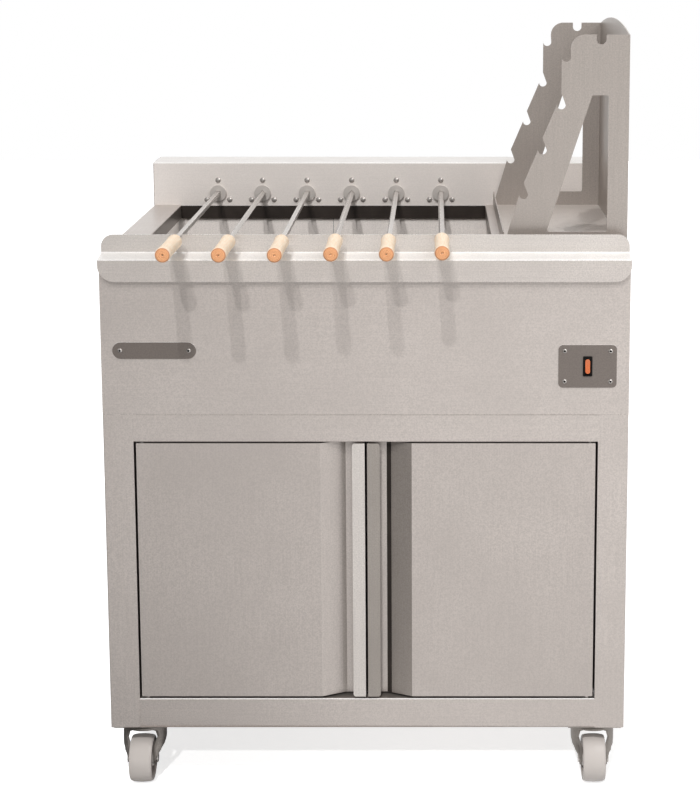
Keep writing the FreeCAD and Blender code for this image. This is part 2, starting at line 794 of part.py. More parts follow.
def skewers():
    """Square rods in their sockets, each with its handle in front of the rest."""
    for index, x in enumerate(spindle_xs):
        pull = skewer_pulls[index]
        y_range = (handle_rear - handle_rod_depth - pull, rod_rear - pull)
        bar = square_bar(x, spindle_axis_z, rod_side, skewer_angles[index], y_range)
        write(f"skewer_rod_{index + 1}", bar)
        write(f"skewer_handle_{index + 1}", skewer_handle(x, pull).cut(bar))


def motor_drive():
    """Pinion with its shaft, and the gearmotor on a bracket from the rear panel."""
    toward_gear = math.pi / 2
    pitch_angle = 2 * math.pi / gear_teeth
    gear_contact = -math.pi / 2
    lead = round(gear_contact / pitch_angle) * pitch_angle - gear_contact
    gap_middle = toward_gear - lead * gear_teeth / pinion_teeth
    start = Vector(motor_x, gear_front, motor_z)
    pinion = gear(pinion_teeth, gap_middle + math.pi / pinion_teeth, start, gear_width)
    shaft_length = gear_width + motor_plane_gap + gearbox_depth / 2
    pinion = pinion.fuse(rod(start, BACK, motor_shaft_radius, shaft_length))
    write("motor_pinion", pinion)
    plate_back = motor_plane + motor_bracket
    half = motor_bracket_width / 2
    x_range = (motor_x - half, motor_x + half)
    foot_z = motor_z - motor_bracket_drop
    plate = box(x_range, (motor_plane, plate_back), (foot_z, motor_z + motor_bracket_rise))
    foot = box(x_range, (plate_back, body_depth - sheet), (foot_z, foot_z + motor_bracket))
    gearbox = box((motor_x - gearbox_width / 2, motor_x + gearbox_width / 2),
                  (plate_back, plate_back + gearbox_depth),
                  (motor_z - gearbox_height / 2, motor_z + gearbox_height / 2))
    can = rod(Vector(motor_x, plate_back + gearbox_depth, motor_z), BACK, motor_radius, motor_length)
    bore = rod(Vector(motor_x, motor_plane - overcut, motor_z), BACK, motor_shaft_radius + running_clearance,
               gearbox_depth / 2 + motor_bracket + overcut)
    write("gearmotor", plate.fuse(foot).removeSplitter().cut(bore), gearbox.fuse(can).cut(bore))


class Outline:
    """Closed outline in the XZ plane, made of straight lines and arcs."""

    def __init__(self, x, z):
        self.first = (x, z)
        self.last = (x, z)
        self.edges = []

    def line(self, x, z):
        """Straight on to a point."""
        start, self.last = self.last, (x, z)
        self.edges.append(Part.LineSegment(at_front(start), at_front(self.last)).toShape())
        return self

    def arc(self, middle, end):
        """Arc through one point to another."""
        start, self.last = self.last, end
        self.edges.append(Part.Arc(at_front(start), at_front(middle), at_front(end)).toShape())
        return self

    def plate(self, y, thickness):
        """Close the outline and draw it out along Y."""
        if math.dist(self.last, self.first) > 1e-6:
            self.line(*self.first)
        face = Part.Face(Part.Wire(self.edges))
        face.translate(BACK * y)
        return face.extrude(BACK * thickness)


def at_front(point):
    """A point of an outline, in space."""
    return Vector(point[0], 0, point[1])


def rack_base():
    """Level that the rack's own sheets start at, just clear of the side plate."""
    return rim_top + rack_stand_gap


def rack_notches():
    """Centres of the notches down the rack plates' slanted edge."""
    top = rack_base() + rack_height
    return [(rack_left_top - rack_notch_step_x * i, top - rack_notch_first_drop - rack_notch_step_z * i)
            for i in range(rack_notch_count)]


def rack_plate(y):
    """Notched upright plate that holds one end of the stored skewers."""
    base = rack_base()
    top = base + rack_height
    radius = rack_notch_radius
    slope = math.sqrt(0.5)
    outline = Outline(half_width, base)
    outline.line(half_width, top)
    u_bottom = top - rack_u_depth + rack_u_radius
    outline.line(rack_u_centre + rack_u_radius, top).line(rack_u_centre + rack_u_radius, u_bottom)
    outline.arc((rack_u_centre, u_bottom - rack_u_radius), (rack_u_centre - rack_u_radius, u_bottom))
    outline.line(rack_u_centre - rack_u_radius, top)
    outline.line(rack_top_start, top)
    hook_right = rack_left_top + 2 * rack_hook_radius
    bulge = rack_top_round * (1 - slope)
    outline.arc((rack_top_start - rack_top_round + bulge, top - bulge),
                (rack_top_start - rack_top_round, top - rack_top_round))
    hook_z = top - rack_hook_drop
    outline.line(hook_right, hook_z)
    hook_x = rack_left_top + rack_hook_radius
    outline.arc((hook_x, hook_z - rack_hook_radius), (rack_left_top, hook_z))
    for x, z in rack_notches():
        outline.line(x, z + rack_notch_rise)
        outline.line(x + radius, z)
        outline.arc((x, z - radius), (x - radius, z))
    outline.line(rack_left, base)
    plate = outline.plate(y, rack_sheet)
    return plate.cut(rack_window(y))


def rack_window(y):
    """Tapering cut-out inside a rack plate."""
    base = rack_base()
    top = base + rack_height - rack_window_drop
    right = half_width - rack_leg
    bottom = base + rack_low_wall
    corners = [(rack_window_left, bottom), (right, bottom), (right, top),
               (right - rack_window_top_width, top)]
    window = prism(corners, "xz", y - overcut, y + rack_sheet + overcut)
    edges = [edge for edge in window.Edges if abs(edge.tangentAt(edge.FirstParameter).y) > 0.9]
    return window.makeFillet(rack_window_round, edges)


def rack_tray():
    """Floor, low left wall and tall arched right wall, folded from one sheet."""
    base = rack_base()
    top = base + rack_height
    y_range = (rack_front_y + rack_sheet, rack_rear_y - rack_sheet)
    floor = box((rack_left, half_width), y_range, (base, base + rack_sheet))
    low = box((rack_left, rack_left + rack_sheet), y_range, (base, base + rack_low_wall))
    middle_y = (y_range[0] + y_range[1]) / 2
    points = [Vector(half_width - rack_sheet, y, z)
              for y, z in ((y_range[0], base), (y_range[0], top), (middle_y, top + rack_arch),
                           (y_range[1], top), (y_range[1], base))]
    edges = [Part.LineSegment(points[0], points[1]), Part.Arc(*points[1:4]),
             Part.LineSegment(points[3], points[4]), Part.LineSegment(points[4], points[0])]
    wall = Part.Face(Part.Wire([edge.toShape() for edge in edges])).extrude(RIGHT * rack_sheet)
    return floor.fuse([low, wall]).removeSplitter()


def switch():
    """Switch plate with its rivets, rocker bezel and rocker."""
    centre_z = rim_top - switch_plate_drop
    plate = rounded_plate(switch_plate_x, centre_z, switch_plate_width, switch_plate_height,
                          switch_plate_corner, (-trim_sheet, 0))
    x_range, z_range = switch_opening(centre_z)
    plate = plate.cut(box(x_range, (-trim_sheet - overcut, overcut), z_range))
    rivets = [trim_rivet(switch_plate_x + x * switch_rivet_x, centre_z + z * switch_rivet_z, -trim_sheet)
              for x in (-0.5, 0.5) for z in (-0.5, 0.5)]
    flange_y = -trim_sheet - bezel_flange
    flange = rounded_plate(switch_plate_x, centre_z, bezel_width, bezel_height, bezel_frame,
                           (flange_y, -trim_sheet))
    body = box(x_range, (-trim_sheet, bezel_depth), z_range)
    inner_x = (x_range[0] + bezel_wall, x_range[1] - bezel_wall)
    inner_z = (z_range[0] + bezel_wall, z_range[1] - bezel_wall)
    well_y = (flange_y - overcut, rocker_pivot_y + rocker_depth + 2 * rocker_gap)
    bezel = flange.fuse(body).cut(box(inner_x, well_y, inner_z))
    pivot = Vector(inner_x[0] - bezel_wall / 2, rocker_pivot_y, centre_z)
    pivot_length = inner_x[1] - inner_x[0] + bezel_wall
    bezel = bezel.cut(rod(pivot, RIGHT, rocker_pivot_radius + running_clearance, pivot_length))
    write("switch_plate", plate, *rivets)
    write("rocker_bezel", bezel)
    write("rocker", rocker(inner_x, inner_z, flange_y, pivot, pivot_length))


def rocker(inner_x, inner_z, flange_y, pivot, pivot_length):
    """Rocker with two faces that meet at a shallow angle, tipped to its off side."""
    half = (inner_z[1] - inner_z[0]) / 2 - rocker_end_gap
    face = flange_y - rocker_rise + half * math.tan(math.radians(rocker_half_swing))
    back = rocker_pivot_y + rocker_depth / 2
    z = pivot.z
    outline = [(face - rocker_rise, z - half), (face, z), (face - rocker_rise, z + half),
               (rocker_pivot_y, z + half), (back, z), (rocker_pivot_y, z - half)]
    x_range = (inner_x[0] + rocker_gap, inner_x[1] - rocker_gap)
    key = prism(outline, "yz", x_range[0], x_range[1])
    key = key.fuse(rod(pivot, RIGHT, rocker_pivot_radius, pivot_length))
    key.rotate(pivot, RIGHT, -rocker_half_swing)
    return key


def badge():
    """Plain obround plate with two rivets, left bare."""
    centre_z = rim_top - badge_drop
    plate = rounded_plate(badge_x, centre_z, badge_width, badge_height, badge_height / 2, (-trim_sheet, 0))
    rivets = [trim_rivet(badge_x + i * badge_rivet_spacing / 2, centre_z, -trim_sheet) for i in (-1, 1)]
    return [plate] + rivets


def mains_gland():
    """Gland in the rear panel: inner tail, outer nut and cap, bored for the mains lead."""
    start = Vector(gland_x, body_depth - sheet - gland_tail, gland_z)
    body = rod(start, BACK, gland_thread_radius, gland_tail + sheet)
    seat = Vector(gland_x, body_depth, gland_z)
    corners = [(gland_x + gland_nut_radius * math.cos(math.radians(60 * i)),
                gland_z + gland_nut_radius * math.sin(math.radians(60 * i))) for i in range(6)]
    nut = prism(corners, "xz", body_depth, body_depth + gland_nut)
    cap = Part.makeCone(gland_cap_radius, gland_bore_radius + gland_cap_wall, gland_cap_length,
                        seat + BACK * gland_nut, BACK)
    bore_length = gland_tail + sheet + gland_nut + gland_cap_length + 2 * overcut
    bore = rod(start - BACK * overcut, BACK, gland_bore_radius, bore_length)
    return body.fuse([nut, cap]).cut(bore)


def caster_plate(x, y):
    """Top plate with the upper race and the king pin."""
    top = cabinet_bottom
    half_x, half_y = caster_plate_x / 2, caster_plate_y / 2
    plate = box((x - half_x, x + half_x), (y - half_y, y + half_y), (top - caster_plate_thickness, top))
    race_z = top - caster_plate_thickness
    race = rod(Vector(x, y, race_z), -UP, race_radius, race_thickness)
    crown_bottom = fork_crown_top() - fork_sheet
    pin_end = crown_bottom - body_clearance - king_pin_head
    pin = rod(Vector(x, y, race_z), -UP, king_pin_radius, race_z - pin_end)
    head = rod(Vector(x, y, pin_end), UP, king_pin_head_radius, king_pin_head)
    return plate.fuse([race, pin, head]).removeSplitter()


def fork_crown_top():
    """Level of the fork crown's upper face, just under the race."""
    return cabinet_bottom - caster_plate_thickness - race_thickness - body_clearance


def caster_fork(x, y):
    """Round crown with a skirt, two legs down to the axle, and the axle with its heads."""
    crown_top = fork_crown_top()
    crown_bottom = crown_top - fork_sheet
    inner_half = wheel_width / 2 + fork_wheel_gap
    outer_half = inner_half + fork_sheet
    crown = rod(Vector(x, y, crown_bottom), UP, fork_crown_radius, fork_sheet)
    skirt_bottom = crown_bottom - fork_skirt
    skirt = rod(Vector(x, y, skirt_bottom), UP, fork_crown_radius, fork_skirt)
    skirt = skirt.cut(rod(Vector(x, y, skirt_bottom - overcut), UP, fork_crown_radius - fork_sheet,
                          fork_skirt + 2 * overcut))
    axle_y = y - caster_trail
    mouth = box((x - inner_half, x + inner_half),
                (axle_y - wheel_radius, y + fork_crown_radius - fork_sheet - body_clearance),
                (skirt_bottom - overcut, crown_bottom))
    half_crown = math.sqrt(fork_crown_radius ** 2 - outer_half ** 2)
    foot = rod(Vector(x - outer_half, axle_y, wheel_radius), RIGHT, fork_foot_radius, 2 * outer_half)
    taper = [(y - half_crown, crown_bottom), (axle_y - fork_foot_radius, wheel_radius),
             (axle_y, wheel_radius - fork_foot_radius), (axle_y + fork_foot_radius, wheel_radius - 2),
             (y + half_crown, skirt_bottom), (y + half_crown, crown_bottom)]
    legs = prism(taper, "yz", x - outer_half, x + outer_half).fuse(foot)
    slot = box((x - inner_half, x + inner_half), (y - 3 * fork_crown_radius, y + 3 * fork_crown_radius),
               (0, crown_bottom))
    fork = crown.fuse([skirt.cut(mouth), legs.cut(slot)])
    king_bore = rod(Vector(x, y, crown_bottom - overcut), UP, king_pin_radius + running_clearance,
                    fork_sheet + 2 * overcut)
    axle_hole = rod(Vector(x - outer_half - overcut, axle_y, wheel_radius), RIGHT, axle_radius,
                    2 * (outer_half + overcut))
    fork = fork.cut([king_bore, axle_hole]).removeSplitter()
    axle = rod(Vector(x - outer_half, axle_y, wheel_radius), RIGHT, axle_radius, 2 * outer_half)
    for side in (-1, 1):
        axle = axle.fuse(rod(Vector(x + side * outer_half, axle_y, wheel_radius), RIGHT * side,
                             axle_head_radius, axle_head))
    return [fork, axle.removeSplitter()]


def caster_wheel(x, y):
    """Solid plastic wheel with dished sides, a hub and softened tread edges."""
    half = wheel_width / 2
    centre = Vector(x, y - caster_trail, wheel_radius)
    wheel = rod(centre - RIGHT * half, RIGHT, wheel_radius, wheel_width)
    wheel = wheel.makeFillet(tread_edge, [edge for edge in wheel.Edges if edge.Closed])
    for side in (-1, 1):
        dish_start = centre + RIGHT * side * wheel_web / 2
        dish = rod(dish_start, RIGHT * side, wheel_radius - wheel_rim, half)
        wheel = wheel.cut(dish.cut(rod(dish_start, RIGHT * side, wheel_hub_radius, half)))
    bore = rod(centre - RIGHT * wheel_width, RIGHT, axle_radius + running_clearance, 2 * wheel_width)
    return wheel.cut(bore)


def casters():
    """Four swivel casters, one under each corner."""
    rear_y = body_depth - caster_inset_y
    corners = {"front_left": (-caster_x, caster_inset_y), "front_right": (caster_x, caster_inset_y),
               "rear_left": (-caster_x, rear_y), "rear_right": (caster_x, rear_y)}
    write("caster_plates", *[caster_plate(x, y) for x, y in corners.values()])
    for name, (x, y) in corners.items():
        write(f"caster_fork_{name}", *caster_fork(x, y))
        write(f"caster_wheel_{name}", caster_wheel(x, y))


def main():
    """Write every node."""
    os.makedirs("parts", exist_ok=True)
    write("cabinet_frame", *cabinet_frame())
    cabinet_panels()
    door = left_door()
    write("left_door", *door)
    write("right_door", *[mirrored(piece) for piece in door])
    door_fittings()
    write("front_panel", front_panel())
    write("left_body_side", mirrored(body_side(-hearth_left, True)))
    write("right_body_side", body_side(hearth_right, False))
    write("rear_panel", rear_panel())
    write("front_rest", front_rest())
    write("firebox_shell", firebox_shell())
    write("firebox_liners", *firebox_liners())
    write("charcoal_grate", charcoal_grate())
    ash_drawer()
    write("drive_face", drive_face())
    write("drive_cover", drive_cover())
    bearings()
    for index in range(spindle_count):
        write(f"spindle_{index + 1}", *spindle(index))
    skewers()
    motor_drive()
    write("rack_front_plate", rack_plate(rack_front_y))
    write("rack_rear_plate", rack_plate(rack_rear_y - rack_sheet))
    write("rack_tray", rack_tray())
    switch()
    write("badge_plate", *badge())
    write("mains_gland", mains_gland())
    casters()


main()
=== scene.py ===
"""Looks of a charcoal rotisserie grill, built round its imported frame.

Lengths are in metres. X runs to the right, Y to the back and Z up, with the origin on the floor
under the middle of the object, as in the frame.
"""
import json
import logging
import math
from contextlib import contextmanager
from dataclasses import dataclass
from enum import Enum
from functools import cache
from typing import Callable, Iterator

import bmesh
import bpy
import numpy as np
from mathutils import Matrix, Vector


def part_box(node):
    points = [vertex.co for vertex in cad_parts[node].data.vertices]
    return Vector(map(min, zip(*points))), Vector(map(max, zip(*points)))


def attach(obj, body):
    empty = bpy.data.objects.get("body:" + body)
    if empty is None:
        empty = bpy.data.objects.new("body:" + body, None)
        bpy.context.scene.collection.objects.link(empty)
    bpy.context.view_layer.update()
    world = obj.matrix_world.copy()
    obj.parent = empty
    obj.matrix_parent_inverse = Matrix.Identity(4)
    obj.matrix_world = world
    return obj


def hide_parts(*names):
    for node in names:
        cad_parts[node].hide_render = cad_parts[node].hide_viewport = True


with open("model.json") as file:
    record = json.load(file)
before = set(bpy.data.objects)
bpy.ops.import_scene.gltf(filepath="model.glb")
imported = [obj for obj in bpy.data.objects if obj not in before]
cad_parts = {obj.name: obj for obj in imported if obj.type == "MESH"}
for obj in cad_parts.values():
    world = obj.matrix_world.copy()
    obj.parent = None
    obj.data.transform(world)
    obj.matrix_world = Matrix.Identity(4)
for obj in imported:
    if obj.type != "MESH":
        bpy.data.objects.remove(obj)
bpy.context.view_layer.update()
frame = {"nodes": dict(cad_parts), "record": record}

Object = bpy.types.Object
Colour = tuple[float, float, float]
Fold = tuple[float, float, float]
PairTest = Callable[[Vector, Vector], bool]

log = logging.getLogger("grill")
FINISH_PREFIX = "finish_"
BEND_FACETS = 6

# Lengths in metres.
TINY = 1e-5
SAME = 1e-4
SHEET_EDGE = 0.0004
CUT_PAST = 0.01

# Angles in degrees.
FLAT_WITHIN = 0.5
TURNED_SMOOTH = 50.0
CASTER_SMOOTH = 35.0

# Least share of an axis in a face's normal.
SLOPING_UP = 0.25
PARTLY_UP = 0.3
SQUARE_ON = 0.9
STRAIGHT_UP = 0.98


class Axis(Enum):
    """Direction that a turned piece or a cut runs along."""

    X = Vector((1, 0, 0))
    Y = Vector((0, 1, 0))
    Z = Vector((0, 0, 1))

    @property
    def across(self) -> Vector:
        """A direction square to this one."""
        return Vector((0, 0, 1)) if self is not Axis.Z else Vector((1, 0, 0))

    def point(self, along: float, first: float, second: float) -> Vector:
        """Point from its place along this axis and its two other coordinates in order.

        Args:
            along: Place along this axis.
            first: First of its other coordinates, in the order X, Y, Z.
            second: Second of its other coordinates.

        Returns:
            The point.
        """
        values = [first, second]
        values.insert("XYZ".index(self.name), along)
        return Vector(values)

    def same_line(self, first: Vector, second: Vector) -> bool:
        """Whether two points lie on one line along this axis."""
        apart = first - second
        return (apart - self.value * apart.dot(self.value)).length < SAME / 2


class Grain(Enum):
    """Direction of the brushing, as pattern scales along X, Y and Z."""

    ACROSS = (9.0, 620.0, 620.0)
    DEEP = (620.0, 9.0, 620.0)
    UPRIGHT = (620.0, 620.0, 9.0)
    NONE = (420.0, 420.0, 420.0)


def tone(red: int, green: int, blue: int) -> Colour:
    """Linear colour of a display colour given from 0 to 255.

    Args:
        red: Red.
        green: Green.
        blue: Blue.

    Returns:
        The linear colour.
    """
    values = []
    for channel in (red, green, blue):
        share = channel / 255
        values.append(share / 12.92 if share <= 0.04045 else ((share + 0.055) / 1.055) ** 2.4)
    return values[0], values[1], values[2]


def near(value: float, target: float) -> bool:
    """Whether two lengths are the same to a tenth of a millimetre."""
    return abs(value - target) < SAME


def is_upper_bend(normal: Vector) -> bool:
    """Whether a normal turns partly up, as on a rounded upper edge."""
    return PARTLY_UP < normal.z < STRAIGHT_UP


# Mesh work

def make_active(piece: Object) -> None:
    """Select one object alone.

    Args:
        piece: The object.
    """
    bpy.ops.object.select_all(action="DESELECT")
    piece.select_set(True)
    bpy.context.view_layer.objects.active = piece


class Blank:
    """A mesh on the bench, shaped by edit mode operators and applied modifiers."""

    def __init__(self, name: str, piece: Object) -> None:
        """Take over an object.

        Args:
            name: Name of the piece.
            piece: Its object.
        """
        self.piece = piece
        self.sheet = 0.0
        piece.name = name
        piece.data.name = name

    @classmethod
    def from_node(cls, name: str, node: str) -> "Blank":
        """Copy a frame node and merge its triangles into whole faces.

        Args:
            name: Name of the new piece.
            node: Frame node to copy.

        Returns:
            The copy, ready to shape.
        """
        piece = bpy.data.objects.new(name, frame["nodes"][node].data.copy())
        piece.data.materials.clear()
        bpy.context.scene.collection.objects.link(piece)
        blank = cls(name, piece)
        make_active(piece)
        bpy.ops.mesh.customdata_custom_splitnormals_clear()
        with blank.editing():
            bpy.ops.mesh.select_all(action="SELECT")
            bpy.ops.mesh.remove_doubles(threshold=TINY)
            bpy.ops.mesh.dissolve_limited(angle_limit=math.radians(FLAT_WITHIN))
        return blank

    @classmethod
    def block(cls, name: str, low: Vector, high: Vector) -> "Blank":
        """Cube primitive stretched between two corners.

        Args:
            name: Name of the piece.
            low: Its lowest corner.
            high: Its highest corner.

        Returns:
            The block.
        """
        bpy.ops.object.select_all(action="DESELECT")
        bpy.ops.mesh.primitive_cube_add(size=1, location=(low + high) / 2, scale=high - low)
        blank = cls(name, bpy.context.object)
        blank.settle()
        return blank

    @classmethod
    def rod(cls, name: str, start: Vector, axis: Axis, radius: float, length: float,
            sides: int = 48) -> "Blank":
        """Cylinder primitive from a start point along an axis.

        Args:
            name: Name of the piece.
            start: Middle of its first end.
            axis: Direction of its axis.
            radius: Its radius.
            length: Its length, which may be negative.
            sides: Number of facets.

        Returns:
            The cylinder.
        """
        bpy.ops.object.select_all(action="DESELECT")
        turn = Vector((0, 0, 1)).rotation_difference(axis.value).to_euler()
        bpy.ops.mesh.primitive_cylinder_add(vertices=sides, radius=radius, depth=abs(length),
                                            location=start + axis.value * length / 2, rotation=turn)
        blank = cls(name, bpy.context.object)
        blank.settle()
        return blank

    @classmethod
    def drawn(cls, name: str, points: list[Vector]) -> "Blank":
        """Chain of edges through points, drawn by extruding a single vertex.

        Args:
            name: Name of the piece.
            points: Points of the chain in order.

        Returns:
            The chain, which has no faces yet.
        """
        bpy.ops.object.select_all(action="DESELECT")
        bpy.ops.mesh.primitive_plane_add(size=0.001, location=points[0])
        blank = cls(name, bpy.context.object)
        blank.settle()
        with blank.editing():
            bpy.ops.mesh.select_all(action="SELECT")
            bpy.ops.mesh.merge(type="CENTER")
            for before, after in zip(points, points[1:]):
                bpy.ops.mesh.extrude_vertices_move(TRANSFORM_OT_translate={"value": after - before})
        return blank

    @classmethod
    def turned(cls, name: str, profile: list[tuple[float, float]], centre: Vector, axis: Axis,
               steps: int = 48) -> "Blank":
        """Spin an outline round an axis.

        Args:
            name: Name of the piece.
            profile: Pairs of radius and distance along the axis.
            centre: Point that the distances are counted from.
            axis: Axis of the spin.
            steps: Number of facets round the piece.

        Returns:
            The closed turned mesh.
        """
        points = [centre + axis.value * along + axis.across * radius for radius, along in profile]
        blank = cls.drawn(name, points)
        with blank.editing():
            bpy.ops.mesh.select_all(action="SELECT")
            bpy.ops.mesh.spin(steps=steps, angle=2 * math.pi, center=centre, axis=axis.value)
        blank.mend()
        return blank

    @classmethod
    def folded(cls, name: str, path: list[Fold], axis: Axis, span: tuple[float, float], sheet: float,
               inward: Vector) -> "Blank":
        """Fold a sheet along a path of straight runs and drawn bends.

        Args:
            name: Name of the piece.
            path: Corners of the outer face, each with its bend radius, in the plane across the axis.
            axis: Direction of the folds.
            span: Start and end along the axis.
            sheet: Thickness of the sheet.
            inward: Direction in which the thickness goes from the path's first run.

        Returns:
            The folded sheet.
        """
        points = [axis.point(span[0], u, v) for u, v, _ in path]
        length = axis.value * (span[1] - span[0])
        blank = cls.drawn(name, points)
        with blank.editing("EDGE"):
            bpy.ops.mesh.select_all(action="SELECT")
            bpy.ops.mesh.extrude_edges_move(TRANSFORM_OT_translate={"value": length})
        for before, corner, after, (_, _, bend) in zip(points, points[1:], points[2:], path[1:]):
            if bend:
                turn = (corner - before).angle(after - corner)
                blank.round_edges(lambda a, b: axis.same_line(a, corner) and axis.same_line(b, corner),
                                  bend * math.tan(turn / 2), BEND_FACETS)
        with blank.editing("FACE") as mesh:
            mesh.faces.ensure_lookup_table()
            first = min(mesh.faces, key=lambda face: (face.calc_center_median() - (points[0] + points[1]) / 2
                                                      - length / 2).length)
            if first.normal.dot(inward) > 0:
                bpy.ops.mesh.select_all(action="SELECT")
                bpy.ops.mesh.flip_normals()
        blank.sheet = sheet
        return blank

    def thicken(self) -> "Blank":
        """Give a folded sheet its thickness behind the drawn face."""
        return self.modify("SOLIDIFY", thickness=self.sheet, offset=-1.0, use_even_offset=True)

    @contextmanager
    def editing(self, mode: str = "VERT") -> Iterator[bmesh.types.BMesh]:
        """Edit mode with nothing selected, and object mode again afterwards.

        Args:
            mode: What is selected: VERT, EDGE or FACE.

        Yields:
            The edit mesh.
        """
        make_active(self.piece)
        bpy.ops.object.mode_set(mode="EDIT")
        bpy.ops.mesh.select_mode(type=mode)
        bpy.ops.mesh.select_all(action="DESELECT")
        yield bmesh.from_edit_mesh(self.piece.data)
        bpy.ops.object.mode_set(mode="OBJECT")

    def settle(self) -> None:
        """Put the object at the origin, with its place in its mesh."""
        make_active(self.piece)
        bpy.ops.object.transform_apply(location=True, rotation=True, scale=True)

    def mend(self) -> None:
        """Merge doubles and point every face outwards."""
        with self.editing():
            bpy.ops.mesh.select_all(action="SELECT")
            bpy.ops.mesh.remove_doubles(threshold=TINY)
            bpy.ops.mesh.normals_make_consistent(inside=False)

    def pick_edges(self, mesh: bmesh.types.BMesh, test: PairTest) -> int:
        """Select the edges whose two ends pass a test, and say how many they are.

        Args:
            mesh: The edit mesh.
            test: Says whether an edge with these two ends is chosen.

        Returns:
            How many were selected.
        """
        picked = [edge for edge in mesh.edges if test(edge.verts[0].co, edge.verts[1].co)]
        for edge in picked:
            edge.select_set(True)
        bmesh.update_edit_mesh(self.piece.data)
        return len(picked)

    def pick_corners(self, mesh: bmesh.types.BMesh, test: Callable[[Vector], bool]) -> int:
        """Select the vertices that pass a test, and say how many they are.

        Args:
            mesh: The edit mesh.
            test: Says whether a vertex at this place is chosen.

        Returns:
            How many were selected.
        """
        picked = [vertex for vertex in mesh.verts if test(vertex.co)]
        for vertex in picked:
            vertex.select_set(True)
        bmesh.update_edit_mesh(self.piece.data)
        return len(picked)

    def round_edges(self, test: PairTest, radius: float, segments: int = 5) -> "Blank":
        """Bevel chosen edges into a bend.

        Args:
            test: Says whether an edge with these two ends is chosen.
            radius: Width that the bend takes from each side.
            segments: Facets across the bend.

        Returns:
            This blank.
        """
        with self.editing("EDGE") as mesh:
            if self.pick_edges(mesh, test):
                bpy.ops.mesh.bevel(offset=radius, segments=segments, affect="EDGES", clamp_overlap=True)
            else:
                log.warning("no edge to round on %s", self.piece.name)
        return self

    def round_corners(self, test: Callable[[Vector], bool], radius: float, segments: int = 10) -> "Blank":
        """Round chosen corners of a flat sheet before it is thickened.

        Args:
            test: Says whether a corner at this place is chosen.
            radius: Radius of the rounding.
            segments: Facets of the rounding.

        Returns:
            This blank.
        """
        with self.editing("VERT") as mesh:
            if self.pick_corners(mesh, test):
                bpy.ops.mesh.bevel(offset=radius, segments=segments, affect="VERTICES", clamp_overlap=True)
            else:
                log.warning("no corner to round on %s", self.piece.name)
        return self

    def split(self, place: Vector, normal: Vector) -> "Blank":
        """Cut the faces along a plane.

        Args:
            place: Point on the plane.
            normal: Direction square to the plane.

        Returns:
            This blank.
        """
        with self.editing():
            bpy.ops.mesh.select_all(action="SELECT")
            bpy.ops.mesh.bisect(plane_co=place, plane_no=normal)
        return self

    def modify(self, kind: str, **settings: object) -> "Blank":
        """Add a modifier with its settings and apply it.

        Args:
            kind: Modifier type.
            settings: Its settings by name.

        Returns:
            This blank.
        """
        make_active(self.piece)
        modifier = self.piece.modifiers.new(kind.title(), kind)
        for key, value in settings.items():
            setattr(modifier, key, value)
        bpy.ops.object.modifier_apply(modifier=modifier.name)
        return self

    def soften(self, width: float, segments: int = 2, angle: float = 35.0) -> "Blank":
        """Round every remaining sharp edge a little, and mark those faces as wear.

        Args:
            width: Width of the rounding.
            segments: Facets across it.
            angle: Smallest turn between two faces that counts as sharp, in degrees.

        Returns:
            This blank.
        """
        mesh = self.piece.data
        mesh.materials.clear()
        mesh.materials.append(None)
        mesh.materials.append(None)
        self.modify("BEVEL", width=width, segments=segments, limit_method="ANGLE", material=1,
                    angle_limit=math.radians(angle), use_clamp_overlap=True)
        layer = mesh.attributes.new("wear", "FLOAT", "CORNER")
        values = np.zeros(len(mesh.loops), np.float32)
        for face in mesh.polygons:
            if face.material_index:
                values[face.loop_start:face.loop_start + face.loop_total] = 1.0
                face.material_index = 0
        layer.data.foreach_set("value", values)
        mesh.materials.clear()
        return self

    def cut(self, *cutters: "Blank", keep: bool = False) -> "Blank":
        """Cut other blanks' shapes away, or keep only what they share, and throw those blanks away.

        Args:
            cutters: Blanks to cut with, which are used up.
            keep: Whether to keep only what they share.

        Returns:
            This blank.
        """
        for cutter in cutters:
            self.modify("BOOLEAN", operation="INTERSECT" if keep else "DIFFERENCE", solver="EXACT",
                        object=cutter.piece)
            bpy.data.objects.remove(cutter.piece)
        return self

    def join(self, *others: "Blank") -> "Blank":
        """Take other blanks into this mesh.

        Args:
            others: Blanks to take in, which are used up.

        Returns:
            This blank.
        """
        if others:
            make_active(self.piece)
            for other in others:
                other.piece.select_set(True)
            bpy.ops.object.join()
        return self

    def copied(self, name: str, offset: Vector) -> "Blank":
        """Copy with its own mesh, moved by an offset.

        Args:
            name: Name of the copy.
            offset: How far it is moved.

        Returns:
            The copy.
        """
        piece = bpy.data.objects.new(name, self.piece.data.copy())
        bpy.context.scene.collection.objects.link(piece)
        piece.location = offset
        copy = Blank(name, piece)
        copy.settle()
        return copy

    def centred(self, middle: Vector) -> "Blank":
        """Write the centred attribute: each vertex's place from a middle.

        Args:
            middle: Point that the places are counted from.

        Returns:
            This blank.
        """
        mesh = self.piece.data
        layer = mesh.attributes.new("centred", "FLOAT_VECTOR", "POINT")
        for index, vertex in enumerate(mesh.vertices):
            layer.data[index].vector = vertex.co - middle
        return self

    def done(self, angle: float = 40.0) -> Object:
        """Smooth shading by angle with flat faces kept flat, and the finished object.

        Args:
            angle: Largest turn between smooth faces, in degrees.

        Returns:
            The finished object.
        """
        make_active(self.piece)
        bpy.ops.object.shade_smooth_by_angle(angle=math.radians(angle))
        self.modify("WEIGHTED_NORMAL", keep_sharp=True, weight=50)
        return self.piece


# Shader groups and finishes

